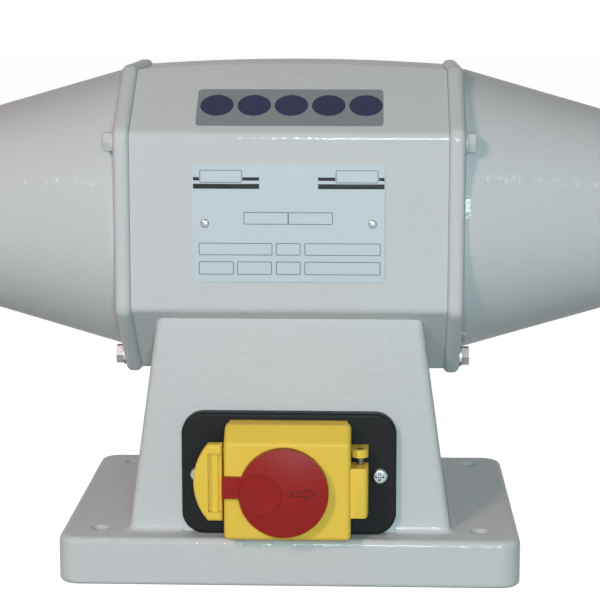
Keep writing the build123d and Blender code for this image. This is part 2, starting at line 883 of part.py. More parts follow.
# Plate on the front of the housing, its rivets and the strip above it
with BuildPart() as front_badge:
    with BuildSketch(front_plane(housing_half + front_y)):
        with Locations((0, plate_z)):
            RectangleRounded(plate_width, plate_height, plate_corner_radius)
            Rectangle(rivet_spacing + 2 * rivet_edge, 2 * rivet_edge)
            with GridLocations(rivet_spacing, 0, 2, 1):
                Circle(rivet_diameter / 2 + bolt_clearance, mode=Mode.SUBTRACT)
    extrude(amount=plate_thickness)
front_badge.part.label = "front_plate"
export_step(front_badge.part, "parts/front_plate.step")

with BuildPart() as plate_rivets:
    with BuildSketch(front_plane(housing_half + front_y + plate_thickness)):
        with Locations((0, plate_z)):
            with GridLocations(rivet_spacing, 0, 2, 1):
                Circle(rivet_head / 2)
    extrude(amount=rivet_head_height)
    fillet(plate_rivets.faces().group_by(Axis.Y)[0].edges(), rivet_head_round)
    with BuildSketch(front_plane(housing_half + front_y + plate_thickness)):
        with Locations((0, plate_z)):
            with GridLocations(rivet_spacing, 0, 2, 1):
                Circle(rivet_diameter / 2)
    extrude(amount=-rivet_length)
plate_rivets.part.label = "plate_rivets"
export_step(plate_rivets.part, "parts/plate_rivets.step")

with BuildPart() as facet_strip:
    facet_plane = Plane(
        origin=(0, -housing_half + facet_depth / 2, axis_height + housing_top - facet_rise / 2),
        x_dir=(1, 0, 0),
        z_dir=(0, -facet_rise, facet_depth),
    )
    with BuildSketch(facet_plane):
        with Locations((0, -strip_drop)):
            RectangleRounded(strip_width, strip_height, plate_corner_radius)
    extrude(amount=strip_thickness)
facet_strip.part.label = "facet_strip"
export_step(facet_strip.part, "parts/facet_strip.step")

# Switch plate and its screws
with BuildPart() as switch_bezel:
    with BuildSketch(front_plane(0)):
        with Locations((0, switch_z)):
            RectangleRounded(bezel_width, bezel_height, bezel_corner_radius)
    extrude(amount=bezel_thickness)
    fillet(switch_bezel.faces().sort_by(Axis.Y)[0].edges(), bezel_edge_radius)
    with BuildSketch(front_plane(0)):
        with Locations((0, switch_z)):
            Rectangle(switch_width + 2 * sliding_clearance, switch_height + 2 * sliding_clearance)
        with Locations((0, latch_height)):
            with GridLocations(bezel_screw_spacing, 0, 2, 1):
                Circle(bezel_screw / 2 + bolt_clearance)
    extrude(amount=bezel_thickness, mode=Mode.SUBTRACT)
switch_bezel.part.label = "switch_bezel"
export_step(switch_bezel.part, "parts/switch_bezel.step")

with BuildPart() as bezel_screws:
    with BuildSketch(front_plane(bezel_thickness)):
        with Locations((0, latch_height)):
            with GridLocations(bezel_screw_spacing, 0, 2, 1):
                Circle(screw_head / 2)
    extrude(amount=screw_head_height)
    fillet(bezel_screws.faces().group_by(Axis.Y)[0].edges(), screw_head_round)
    with BuildSketch(front_plane(bezel_thickness)):
        with Locations((0, latch_height)):
            with GridLocations(bezel_screw_spacing, 0, 2, 1):
                Circle(bezel_screw / 2)
    extrude(amount=-bezel_screw_length)
bezel_screws.part.label = "bezel_screws"
export_step(bezel_screws.part, "parts/bezel_screws.step")

# Switch body with a well for each button, and its blade terminals
button_well = button_length - start_button_rise + button_travel + sliding_clearance
with BuildPart() as switch_body:
    with BuildSketch(front_plane(bezel_thickness)):
        with Locations((0, switch_z)):
            Rectangle(switch_width, switch_height)
    extrude(amount=-(bezel_thickness + switch_reach))
    with BuildSketch(front_plane(bezel_thickness)):
        with Locations((0, switch_z)):
            with GridLocations(button_pitch, 0, 2, 1):
                Rectangle(button_width + 2 * sliding_clearance, button_height + 2 * sliding_clearance)
    extrude(amount=-button_well, mode=Mode.SUBTRACT)
switch_body.part.label = "switch_body"
export_step(switch_body.part, "parts/switch_body.step")

with BuildPart() as switch_terminals:
    with BuildSketch(front_plane(-switch_reach)):
        with Locations((0, switch_z)):
            with GridLocations(switch_width / 3, switch_height / 2, 3, 2):
                Rectangle(blade_terminal_width, blade_terminal_thickness)
    extrude(amount=-blade_terminal_length)
switch_terminals.part.label = "switch_terminals"
export_step(switch_terminals.part, "parts/switch_terminals.step")

button_places = {
    "stop_button": (-button_pitch / 2, stop_button_rise),
    "start_button": (button_pitch / 2, start_button_rise),
}
for name, (button_x, rise) in button_places.items():
    with BuildPart() as button:
        with BuildSketch(front_plane(bezel_thickness + rise)):
            with Locations((button_x, switch_z)):
                Rectangle(button_width, button_height)
        extrude(amount=-(button_length - start_button_rise + rise))
        fillet(button.faces().sort_by(Axis.Y)[0].edges(), button_edge_radius)
    button.part.label = name
    export_step(button.part, f"parts/{name}.step")

# Yellow frame round the buttons, with the keeper loop on the left and the hinge ears on the right
with BuildPart() as latch_frame:
    with BuildSketch(front_plane(bezel_thickness)):
        with Locations((0, switch_z)):
            Rectangle(frame_width, frame_height)
            Rectangle(frame_width - 2 * frame_bar, frame_height - 2 * frame_bar, mode=Mode.SUBTRACT)
        foot_reach = keeper_post_width + keeper_gap + (flap_width - frame_width) / 2 + frame_bar
        with Locations((keeper_right - keeper_post_width + foot_reach / 2, latch_height)):
            with GridLocations(0, keeper_post_height - keeper_foot, 1, 2):
                Rectangle(foot_reach, keeper_foot)
        ear_reach = hinge_offset + hinge_radius + (flap_width - frame_width) / 2 + frame_bar
        for ear_foot in (lower_ear, upper_ear):
            with Locations((hinge_x + hinge_radius - ear_reach / 2, hinge_z + ear_foot + ear_height / 2)):
                Rectangle(ear_reach, ear_height)
    extrude(amount=frame_thickness)
    with BuildSketch(front_plane(frame_front)):
        with Locations((keeper_right - keeper_post_width / 2, latch_height)):
            Rectangle(keeper_post_width, keeper_post_height)
    extrude(amount=keeper_depth - keeper_plate)
    with BuildSketch(front_plane(frame_front + keeper_depth)):
        with BuildLine():
            straight_left = keeper_left + keeper_bulge
            loop_low = latch_height - keeper_height / 2
            loop_high = latch_height + keeper_height / 2
            ThreePointArc((straight_left, loop_low), (keeper_left, latch_height), (straight_left, loop_high))
            Polyline(
                (straight_left, loop_high),
                (keeper_right, loop_high),
                (keeper_right, loop_low),
                (straight_left, loop_low),
            )
        make_face()
    extrude(amount=-keeper_plate)
    fillet(latch_frame.faces().sort_by(Axis.Y)[0].edges(), keeper_edge_radius)
    slot_x = keeper_right - (keeper_width - keeper_bulge / 2) / 2 + keeper_slot_width / 4
    with BuildSketch(front_plane(frame_front + keeper_depth)):
        with Locations((slot_x, latch_height)):
            Rectangle(keeper_slot_width, keeper_slot_height)
            Rectangle(keeper_bar_width, keeper_slot_height, mode=Mode.SUBTRACT)
    extrude(amount=-keeper_slot_depth, mode=Mode.SUBTRACT)
    with BuildSketch(front_plane(frame_front + keeper_depth)):
        with Locations((slot_x, latch_height)):
            Rectangle(keeper_bar_width, keeper_slot_height)
    extrude(amount=-(keeper_slot_depth - keeper_bar_height), mode=Mode.SUBTRACT)
    for ear_foot in (lower_ear, upper_ear):
        with BuildSketch(hinge_plane.offset(ear_foot)):
            Circle(hinge_radius)
            with Locations((0, (hinge_depth - bezel_thickness) / 2)):
                Rectangle(2 * hinge_radius, hinge_depth - bezel_thickness)
            Circle(hinge_pin / 2 + press_clearance, mode=Mode.SUBTRACT)
        extrude(amount=ear_height)
latch_frame.part.label = "latch_frame"
export_step(latch_frame.part, "parts/latch_frame.step")

with BuildPart() as hinge_rod:
    with BuildSketch(hinge_plane.offset(lower_ear)):
        Circle(hinge_pin / 2)
    extrude(amount=upper_ear + ear_height - lower_ear)
hinge_rod.part.label = "hinge_pin"
export_step(hinge_rod.part, "parts/hinge_pin.step")

# Hollow flap with a bevelled top, a collar under the cap and a hinge lug
with BuildPart() as switch_flap:
    with BuildSketch(Plane(origin=(0, front_y, 0), x_dir=(0, 1, 0), z_dir=(1, 0, 0))):
        Polygon(
            (-flap_back, flap_low),
            (-flap_front, flap_low),
            (-flap_front, flap_high - flap_bevel_drop),
            (-flap_front + flap_bevel_depth, flap_high),
            (-flap_back, flap_high),
            align=None,
        )
    extrude(amount=flap_width / 2, both=True)
    rear = switch_flap.faces().sort_by(Axis.Y)[-1]
    fillet(switch_flap.edges() - rear.edges(), flap_edge_radius)
    offset(amount=-flap_wall, openings=switch_flap.faces().sort_by(Axis.Y)[-1])
    with BuildSketch(front_plane(flap_front - flap_wall)):
        with Locations((cap_place_x, cap_z)):
            Circle(collar_radius)
    extrude(amount=flap_wall + collar_rise)
    # Hinge lug on the right
    with BuildSketch(hinge_plane) as lug:
        with Locations((0, -lug_depth / 2 + hinge_radius)):
            Rectangle(2 * hinge_radius, lug_depth)
        with Locations((-hinge_offset, -lug_depth / 2 + hinge_radius)):
            Rectangle(2 * flap_wall, lug_depth)
        fillet(lug.vertices().sort_by(Axis.X)[-2:], lug_edge_radius)
    extrude(amount=lug_height / 2, both=True)
    with BuildSketch(hinge_plane):
        Circle(hinge_pin / 2 + running_clearance)
    extrude(amount=lug_height / 2, both=True, mode=Mode.SUBTRACT)
    # Slot for the stem of the cap and channel for its tongue
    with BuildSketch(front_plane(flap_front - flap_wall)):
        with Locations((cap_place_x + cap_travel / 2, cap_z)):
            SlotOverall(
                2 * (cap_stem_radius + sliding_clearance) + cap_travel,
                2 * (cap_stem_radius + sliding_clearance),
            )
    extrude(amount=flap_wall + collar_rise, mode=Mode.SUBTRACT)
    with BuildSketch(front_plane(flap_front)):
        with Locations((cap_place_x - collar_radius / 2, tongue_z)):
            Rectangle(collar_radius, tongue_width + 2 * sliding_clearance)
    extrude(amount=collar_rise, mode=Mode.SUBTRACT)
switch_flap.part.label = "switch_flap"
export_step(switch_flap.part, "parts/switch_flap.step")

# Red slide cap: domed disc with a finger dish, a stem held behind the flap and a tongue
dome_sphere = cap_radius**2 / (2 * cap_dome)
dish_sphere = 1 / (2 * cap_dish_depth / cap_dish_radius**2 - 1 / dome_sphere)
dish_reach = dome_sphere + dish_sphere - cap_dish_depth
dish_lean = asin(cap_dish_offset / dome_sphere)
with BuildPart() as slide_cap:
    cap_plane = Plane(origin=(cap_place_x, front_y, cap_z))
    with BuildSketch(cap_plane):
        with BuildLine():
            cap_rim = cap_back + cap_height - cap_dome
            cap_front = cap_back + cap_height
            Polyline((0, -cap_front), (0, -cap_back), (cap_radius, -cap_back), (cap_radius, -cap_rim))
            RadiusArc((cap_radius, -cap_rim), (0, -cap_front), dome_sphere)
        make_face()
    revolve(axis=Axis((cap_place_x, front_y, cap_z), (0, 1, 0)))
    dish_middle = front_y - cap_front + dome_sphere - dish_reach * cos(dish_lean)
    with Locations((cap_place_x - dish_reach * sin(dish_lean), dish_middle, cap_z)):
        Sphere(dish_sphere, mode=Mode.SUBTRACT)
    keeper_back = flap_front - flap_wall - sliding_clearance
    with BuildSketch(front_plane(cap_back)):
        with Locations((cap_place_x, cap_z)):
            Circle(cap_stem_radius)
    extrude(amount=keeper_back - cap_back)
    with BuildSketch(front_plane(keeper_back)):
        with Locations((cap_place_x, cap_z)):
            Circle(cap_keeper_radius)
    extrude(amount=-cap_keeper_thickness)
    tongue_tip = flap_left - tongue_overhang
    tongue_root = cap_place_x - cap_radius / 2
    with BuildSketch(front_plane(flap_front + sliding_clearance)):
        with Locations(((tongue_tip + tongue_root) / 2, tongue_z)):
            Rectangle(tongue_root - tongue_tip, tongue_width)
    extrude(amount=tongue_thickness)
slide_cap.part.label = "slide_cap"
export_step(slide_cap.part, "parts/slide_cap.step")

# Run capacitor on the back wall, with its band clip and screws
capacitor_y = cavity_back - clip_thickness - capacitor_diameter / 2 - press_clearance
with BuildPart() as capacitor:
    with BuildSketch(Plane(origin=(0, capacitor_y, capacitor_height), x_dir=(0, 1, 0), z_dir=(1, 0, 0))):
        Circle(capacitor_diameter / 2)
    extrude(amount=capacitor_length / 2, both=True)
    chamfer(capacitor.edges().filter_by(GeomType.CIRCLE), clip_thickness)
capacitor.part.label = "capacitor"
export_step(capacitor.part, "parts/capacitor.step")

with BuildPart() as capacitor_clip:
    with BuildSketch(Plane(origin=(0, capacitor_y, capacitor_height), x_dir=(0, 1, 0), z_dir=(1, 0, 0))):
        Circle(capacitor_diameter / 2 + press_clearance + clip_thickness)
        with Locations((cavity_back - capacitor_y - clip_thickness / 2, 0)):
            Rectangle(clip_thickness, capacitor_diameter + 2 * clip_tab)
        Circle(capacitor_diameter / 2 + press_clearance, mode=Mode.SUBTRACT)
    extrude(amount=clip_width / 2, both=True)
    with BuildSketch(back_plane(cavity_back)):
        with Locations((0, capacitor_height)):
            with GridLocations(0, capacitor_diameter + clip_tab, 1, 2):
                Circle(clip_screw / 2 + bolt_clearance)
    extrude(amount=-clip_thickness, mode=Mode.SUBTRACT)
capacitor_clip.part.label = "capacitor_clip"
export_step(capacitor_clip.part, "parts/capacitor_clip.step")

with BuildPart() as clip_screws:
    with BuildSketch(back_plane(cavity_back - clip_thickness)):
        with Locations((0, capacitor_height)):
            with GridLocations(0, capacitor_diameter + clip_tab, 1, 2):
                Circle(screw_head / 2)
    extrude(amount=-screw_head_height)
    with BuildSketch(back_plane(cavity_back - clip_thickness)):
        with Locations((0, capacitor_height)):
            with GridLocations(0, capacitor_diameter + clip_tab, 1, 2):
                Circle(clip_screw / 2)
    extrude(amount=clip_thickness + clip_screw_reach - bolt_clearance)
clip_screws.part.label = "clip_screws"
export_step(clip_screws.part, "parts/clip_screws.step")

# Terminal block under the roof, motor lead with its grommet, and earth screw
with BuildPart() as terminal_block:
    with BuildSketch(Plane.XY.offset(roof_z)):
        with Locations((0, terminal_place_y)):
            Rectangle(terminal_length, terminal_depth)
    extrude(amount=-terminal_height)
    with BuildSketch(Plane.XY.offset(roof_z - terminal_height)):
        with Locations((0, terminal_place_y)):
            with GridLocations(terminal_length / terminal_ways, terminal_depth / 2, terminal_ways, 2):
                Circle(terminal_hole / 2)
    extrude(amount=terminal_height / 2, mode=Mode.SUBTRACT)
terminal_block.part.label = "terminal_block"
export_step(terminal_block.part, "parts/terminal_block.step")

with BuildPart() as lead_grommet:
    with BuildSketch(Plane.XY.offset(roof_z)):
        with Locations((lead_place_x, terminal_place_y)):
            Circle(lead_hole / 2 - press_clearance)
            Circle(grommet_bore / 2, mode=Mode.SUBTRACT)
    extrude(amount=pedestal_roof)
    with BuildSketch(Plane.XY.offset(roof_z)):
        with Locations((lead_place_x, terminal_place_y)):
            Circle(lead_hole / 2 + grommet_rim)
            Circle(grommet_bore / 2, mode=Mode.SUBTRACT)
    extrude(amount=-grommet_flange)
lead_grommet.part.label = "lead_grommet"
export_step(lead_grommet.part, "parts/lead_grommet.step")

with BuildPart() as motor_lead:
    lead_top = axis_height - end_turn_outer_radius - sliding_clearance
    lead_low = roof_z - grommet_flange - lead_bend - sliding_clearance
    with BuildLine() as lead_route:
        FilletPolyline(
            (lead_place_x, terminal_place_y, lead_top),
            (lead_place_x, terminal_place_y, lead_low),
            (terminal_length / 2 + sliding_clearance, terminal_place_y, lead_low),
            radius=lead_bend,
        )
    with BuildSketch(Plane(origin=(lead_place_x, terminal_place_y, lead_top), z_dir=(0, 0, -1))):
        Circle(lead_diameter / 2)
    sweep(path=lead_route.line)
motor_lead.part.label = "motor_lead"
export_step(motor_lead.part, "parts/motor_lead.step")

with BuildPart() as earth_stud:
    with BuildSketch(Plane.XY.offset(roof_z)):
        with Locations((earth_place_x, 0)):
            Circle(earth_head / 2)
    extrude(amount=-earth_head_height)
    with BuildSketch(Plane.XY.offset(roof_z)):
        with Locations((earth_place_x, 0)):
            Circle(earth_screw / 2)
    extrude(amount=earth_screw_reach - bolt_clearance)
earth_stud.part.label = "earth_screw"
export_step(earth_stud.part, "parts/earth_screw.step")

# Cable gland in the back wall: body, seal, cap nut and lock nut
back_y = pedestal_depth / 2
gland_place = (-gland_place_x, gland_place_z)
neck_radius = gland_thread / 2
with BuildPart() as gland_body:
    with BuildSketch(back_plane(back_y)):
        with Locations(gland_place):
            RegularPolygon(gland_flats / 2, 6, major_radius=False)
    extrude(amount=gland_flange)
    with BuildSketch(back_plane(back_y - gland_spigot)):
        with Locations(gland_place):
            Circle(neck_radius)
    extrude(amount=gland_spigot + gland_flange + gland_neck)
    with BuildSketch(back_plane(back_y - gland_spigot)):
        with Locations(gland_place):
            Circle(gland_bore / 2)
    extrude(amount=gland_spigot + gland_flange + gland_neck, mode=Mode.SUBTRACT)
gland_body.part.label = "gland_body"
export_step(gland_body.part, "parts/gland_body.step")

gland_nut_y = back_y + gland_flange + gland_neck + gland_mouth_length - gland_nut_length + sliding_clearance
with BuildPart() as gland_nut:
    with BuildSketch(back_plane(gland_nut_y)):
        with Locations(gland_place):
            Circle(gland_nut_diameter / 2)
    extrude(amount=gland_nut_length)
    fillet(gland_nut.faces().sort_by(Axis.Y)[-1].edges(), gland_dome)
    with BuildSketch(back_plane(gland_nut_y)):
        with Locations(gland_place):
            Circle(neck_radius + thread_clearance)
    extrude(amount=gland_nut_length - gland_mouth_length, mode=Mode.SUBTRACT)
    with BuildSketch(back_plane(gland_nut_y)):
        with Locations(gland_place):
            Circle(gland_mouth / 2)
    extrude(amount=gland_nut_length, mode=Mode.SUBTRACT)
gland_nut.part.label = "gland_nut"
export_step(gland_nut.part, "parts/gland_nut.step")

with BuildPart() as gland_seal:
    with BuildSketch(back_plane(back_y + gland_flange + gland_neck)):
        with Locations(gland_place):
            Circle(gland_bore / 2 - press_clearance)
            Circle(gland_seal_bore / 2, mode=Mode.SUBTRACT)
    extrude(amount=-gland_seal_length)
gland_seal.part.label = "gland_seal"
export_step(gland_seal.part, "parts/gland_seal.step")

with BuildPart() as gland_locknut:
    with BuildSketch(back_plane(cavity_back)):
        with Locations(gland_place):
            RegularPolygon(gland_flats / 2, 6, major_radius=False)
            Circle(neck_radius + thread_clearance, mode=Mode.SUBTRACT)
    extrude(amount=-locknut_thickness)
gland_locknut.part.label = "gland_locknut"
export_step(gland_locknut.part, "parts/gland_locknut.step")
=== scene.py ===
"""Looks of a double-ended bench polisher: finishes of its CAD nodes, cloth wheels, threads and prints."""

import json

import bmesh
import bpy
import numpy as np
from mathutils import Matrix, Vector


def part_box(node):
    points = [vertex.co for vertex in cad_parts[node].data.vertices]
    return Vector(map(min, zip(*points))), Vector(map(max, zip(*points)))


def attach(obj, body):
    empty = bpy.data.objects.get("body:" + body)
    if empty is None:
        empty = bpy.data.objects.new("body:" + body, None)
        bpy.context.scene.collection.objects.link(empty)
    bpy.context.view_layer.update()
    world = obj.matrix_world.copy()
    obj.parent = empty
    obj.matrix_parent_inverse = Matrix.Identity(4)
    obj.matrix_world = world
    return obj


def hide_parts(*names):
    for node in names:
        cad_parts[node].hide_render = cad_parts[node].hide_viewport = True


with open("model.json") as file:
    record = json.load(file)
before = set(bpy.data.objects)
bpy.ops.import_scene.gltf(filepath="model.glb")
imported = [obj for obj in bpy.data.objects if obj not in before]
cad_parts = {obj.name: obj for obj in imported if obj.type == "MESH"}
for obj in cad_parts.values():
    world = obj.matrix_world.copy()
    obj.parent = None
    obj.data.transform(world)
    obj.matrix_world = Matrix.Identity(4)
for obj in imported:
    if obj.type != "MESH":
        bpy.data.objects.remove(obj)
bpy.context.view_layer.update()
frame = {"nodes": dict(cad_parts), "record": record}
shaft_z = sum(corner.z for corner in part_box("shaft")) / 2

MM = 0.001
TURN = 2 * np.pi
MERGE_DISTANCE = 1e-7
RIGHT = (1, 0, 0)
FRONT_AXES = (RIGHT, (0, 0, 1), (0, -1, 0))
rng = np.random.default_rng(11)


# Surfaces


def quads(copies, rows, columns, closed):
    """Corners of the quads over copies of a grid whose columns go round. A closed grid's last row joins
    its first."""
    row, column = np.meshgrid(np.arange(rows if closed else rows - 1), np.arange(columns), indexing="ij")
    row, column = row.ravel(), column.ravel()
    next_row, next_column = (row + 1) % rows, (column + 1) % columns
    corners = [(row, column), (next_row, column), (next_row, next_column), (row, next_column)]
    one = np.stack([r * columns + c for r, c in corners], axis=1)
    steps = np.arange(copies)[:, None, None] * rows * columns
    return (one[None] + steps).reshape(-1, 4)


def make_piece(name, grids, finish, body, crease=40, closed=False):
    """Mesh from grids of points shaped (copies, rows, columns, 3), with poles merged and faces outwards."""
    points, faces, count = [], [], 0
    for grid in grids:
        copies, rows, columns, _ = grid.shape
        faces.append(count + quads(copies, rows, columns, closed))
        points.append(grid.reshape(-1, 3))
        count += copies * rows * columns
    mesh = bpy.data.meshes.new(name)
    mesh.from_pydata(np.concatenate(points).tolist(), [], np.concatenate(faces).tolist())
    shell = bmesh.new()
    shell.from_mesh(mesh)
    bmesh.ops.remove_doubles(shell, verts=shell.verts, dist=MERGE_DISTANCE)
    bmesh.ops.recalc_face_normals(shell, faces=shell.faces)
    shell.to_mesh(mesh)
    shell.free()
    mesh.shade_smooth()
    mesh.set_sharp_from_angle(angle=np.radians(crease))
    mesh.materials.append(finish)
    piece = bpy.data.objects.new(name, mesh)
    bpy.context.scene.collection.objects.link(piece)
    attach(piece, body)
    return piece


def round_steps(steps):
    """Angles of even steps round one turn."""
    return np.linspace(0, TURN, steps, endpoint=False)


def sine_wander(angle, waves, copies):
    """Sum of sines round the turn, one row per copy: each wave has its own amplitude, and a phase drawn for
    the copy."""
    total = np.zeros((copies, angle.size))
    for count, amplitude in waves:
        phase = rng.uniform(0, TURN, (copies, 1))
        total += amplitude * np.sin(count * angle[None] + phase)
    return total


def around_shaft(along, radius, angle):
    """Points this far along the shaft and away from its axis, at an angle from the top."""
    along, radius, angle = np.broadcast_arrays(along, radius, angle)
    return np.stack([along, radius * np.sin(angle), shaft_z + radius * np.cos(angle)], axis=-1)


def both_sides(half_profile):
    """Half a profile of (across, up) points, followed by its mirror image."""
    return np.concatenate([half_profile, half_profile[::-1] * (-1, 1)])


def ridge_along(outline, profile):
    """Profile of (across, up) points carried round a closed flat outline, mitred at its corners."""
    ahead = np.roll(outline, -1, axis=0) - outline
    ahead /= np.linalg.norm(ahead, axis=1, keepdims=True)
    square = np.stack([ahead[:, 1], -ahead[:, 0]], axis=1)
    before = np.roll(square, 1, axis=0)
    mitre = (square + before) / (1 + (square * before).sum(axis=1, keepdims=True))
    across = outline[:, None] + mitre[:, None] * profile[None, :, :1]
    up = np.broadcast_to(profile[None, :, 1:], across.shape[:2] + (1,))
    return np.concatenate([across, up], axis=2)


def stacked(outline, share, rise):
    """A flat outline about its middle, repeated at each rise and scaled by the share that goes with it."""
    flat = outline[None] * share[:, None, None]
    up = np.broadcast_to(rise[:, None, None], flat.shape[:2] + (1,))
    return np.concatenate([flat, up], axis=2)


TABLET_WALL = 0.6
TABLET_EDGE_STEPS = 5
BAR_EDGE_STEPS = 6
CORNER_STEPS = 6


def flat_tablet(outline, thickness, edge):
    """Thin tablet: foot, wall, rounded edge as a quarter turn, and a top drawn in to the middle."""
    turn = np.linspace(0, np.pi / 2, TABLET_EDGE_STEPS)
    share = np.concatenate([[0, 1], 1 - edge + edge * np.cos(turn), [0]])
    rise = np.concatenate([[0, 0], TABLET_WALL + (1 - TABLET_WALL) * np.sin(turn), [1]]) * thickness
    return stacked(outline, share, rise)


def rounded_bar(outline, half, edge):
    """Bar with both ends drawn in to the middle over an edge that is rounded by a quarter turn."""
    turn = np.linspace(0, np.pi / 2, BAR_EDGE_STEPS)
    share = np.concatenate([[0], 1 - edge + edge * np.sin(turn)])
    rise = np.concatenate([[0], 1 - np.cos(turn)]) * edge * np.abs(outline).max() - half
    return stacked(outline, np.concatenate([share, share[::-1]]), np.concatenate([rise, -rise[::-1]]))


def rounded_box(width, height, radius):
    """Outline of a rectangle with round corners: a quarter turn about each corner's middle."""
    quarters = np.linspace(0, np.pi / 2, CORNER_STEPS) + np.arange(4)[:, None] * np.pi / 2
    middle = np.array([[1, 1], [-1, 1], [-1, -1], [1, -1]]) * (np.array([width, height]) / 2 - radius)
    ring = middle[:, None] + radius * np.stack([np.cos(quarters), np.sin(quarters)], axis=2)
    return ring.reshape(-1, 2)


def circle(radius, steps=48):
    """Outline of a circle."""
    turn = round_steps(steps)
    return radius * np.stack([np.cos(turn), np.sin(turn)], axis=1)


def set_on(surface, origin, axes=FRONT_AXES):
    """Local points of (right, up, out) set on a plane in the frame, as one copy of a grid."""
    return (np.asarray(origin, float) + surface @ np.array(axes, float))[None]


# Finishes


def shade(colour, factor):
    """A colour made lighter or darker by a factor."""
    return tuple(min(1.0, channel * factor) for channel in colour)


class Finish:
    """A Principled material on Object coordinates, with short calls for its noise, colour and relief."""

    def __init__(self, name, **sockets):
        self.material = bpy.data.materials.new(name)
        self.material.use_nodes = True
        self.tree = self.material.node_tree
        self.shader = self.tree.nodes["Principled BSDF"]
        self.coordinates = self.add("ShaderNodeTexCoord").outputs["Object"]
        self.normal = None
        for socket, value in sockets.items():
            self.shader.inputs[socket.replace("_", " ")].default_value = value

    def add(self, kind, **settings):
        """A new node with its settings."""
        node = self.tree.nodes.new(kind)
        for setting, value in settings.items():
            setattr(node, setting, value)
        return node

    def join(self, source, target):
        """A link from an output to an input."""
        self.tree.links.new(source, target)

    def noise(self, scale, detail=2, stretch=(1, 1, 1)):
        """Noise with about this many grains to a metre, packed closer along an axis by its stretch."""
        mapping = self.add("ShaderNodeMapping")
        mapping.inputs["Scale"].default_value = stretch
        self.join(self.coordinates, mapping.inputs["Vector"])
        node = self.add("ShaderNodeTexNoise")
        node.inputs["Scale"].default_value = scale
        node.inputs["Detail"].default_value = detail
        self.join(mapping.outputs["Vector"], node.inputs["Vector"])
        return node.outputs["Fac"]

    def bands(self, direction, scale, distortion=0.0):
        """Bands along one axis, bent by a distortion."""
        node = self.add("ShaderNodeTexWave", wave_type="BANDS", bands_direction=direction)
        node.inputs["Scale"].default_value = scale
        node.inputs["Distortion"].default_value = distortion
        self.join(self.coordinates, node.inputs["Vector"])
        return node.outputs["Fac"]

    def product(self, first, second):
        """Two values multiplied."""
        node = self.add("ShaderNodeMath", operation="MULTIPLY")
        self.join(first, node.inputs[0])
        self.join(second, node.inputs[1])
        return node.outputs["Value"]

    def spread(self, value, low, high, start=0.3, end=0.7):
        """A value between start and end, spread over low to high."""
        node = self.add("ShaderNodeMapRange")
        for socket, number in zip(("From Min", "From Max", "To Min", "To Max"), (start, end, low, high)):
            node.inputs[socket].default_value = number
        self.join(value, node.inputs["Value"])
        return node.outputs["Result"]

    def mix(self, factor):
        """Two colour inputs mixed by a factor, and the output."""
        node = self.add("ShaderNodeMix", data_type="RGBA")
        sockets = {socket.identifier: socket for socket in (*node.inputs, *node.outputs)}
        self.join(factor, sockets["Factor_Float"])
        return sockets["A_Color"], sockets["B_Color"], sockets["Result_Color"]

    def tint(self, factor, colour, low, high):
        """A colour between its low and its high shade, by a factor."""
        dark, light, result = self.mix(factor)
        dark.default_value = (*shade(colour, low), 1)
        light.default_value = (*shade(colour, high), 1)
        return result

    def tint_between(self, factor, first, second):
        """One colour output that turns into another by a factor."""
        start, end, result = self.mix(factor)
        self.join(first, start)
        self.join(second, end)
        return result

    def colour(self, factor, colour, low, high):
        """The surface's colour, between two shades."""
        self.join(self.tint(factor, colour, low, high), self.shader.inputs["Base Color"])

    def roughness(self, factor, low, high):
        """The surface's roughness, between two values."""
        self.join(self.spread(factor, low, high), self.shader.inputs["Roughness"])

    def relief(self, height, distance, strength=1.0):
        """Bumps of this height in metres, laid over the ones before."""
        node = self.add("ShaderNodeBump")
        node.inputs["Distance"].default_value = distance
        node.inputs["Strength"].default_value = strength
        self.join(height, node.inputs["Height"])
        if self.normal is not None:
            self.join(self.normal, node.inputs["Normal"])
        self.normal = node.outputs["Normal"]
        self.join(self.normal, self.shader.inputs["Normal"])
        self.join(self.normal, self.shader.inputs["Coat Normal"])


def gloss_paint(name, colour, casting, peel, peel_scale=230):
    """Sprayed grey paint: orange peel over the long waves of the metal, with faint clouds in the colour."""
    finish = Finish(name, Specular_IOR_Level=0.0, Coat_Weight=0.32, Coat_Roughness=0.07)
    finish.colour(finish.noise(9), colour, 0.985, 1.015)
    finish.roughness(finish.noise(90), 0.4, 0.5)
    finish.relief(finish.noise(38, 1), casting)
    finish.relief(finish.noise(peel_scale, 1), peel)
    return finish.material


def plating_relief(finish):
    """Fine grain of plated metal."""
    finish.relief(finish.noise(900), 0.03 * MM, 0.4)


PAINT_BORDER = 1 * MM


def part_painted(name, metal, paint, level):
    """Plated screws, painted over with the housing where they lie above a level along Z."""
    finish = Finish(name, Specular_IOR_Level=0.3)
    split = finish.add("ShaderNodeSeparateXYZ")
    finish.join(finish.coordinates, split.inputs["Vector"])
    above = finish.spread(split.outputs["Z"], 0, 1, level - PAINT_BORDER, level + PAINT_BORDER)
    grains = finish.noise(700, 3)
    bright = finish.tint(grains, metal, 0.9, 1.05)
    covered = finish.tint(finish.noise(60), paint, 0.97, 1.02)
    finish.join(finish.tint_between(above, bright, covered), finish.shader.inputs["Base Color"])
    finish.join(finish.spread(above, 1, 0, 0, 1), finish.shader.inputs["Metallic"])
    finish.roughness(grains, 0.26, 0.4)
    plating_relief(finish)
    return finish.material


def moulded_plastic(name, colour, rough, grain, gloss=0.15):
    """Moulded plastic: a fine spark-eroded grain, faint clouds in the colour and rubbed patches."""
    finish = Finish(name, Specular_IOR_Level=gloss)
    finish.colour(finish.noise(60, 3), colour, 0.95, 1.05)
    finish.roughness(finish.noise(150, 3), *rough)
    finish.relief(finish.noise(2200), grain, 0.5)
    return finish.material


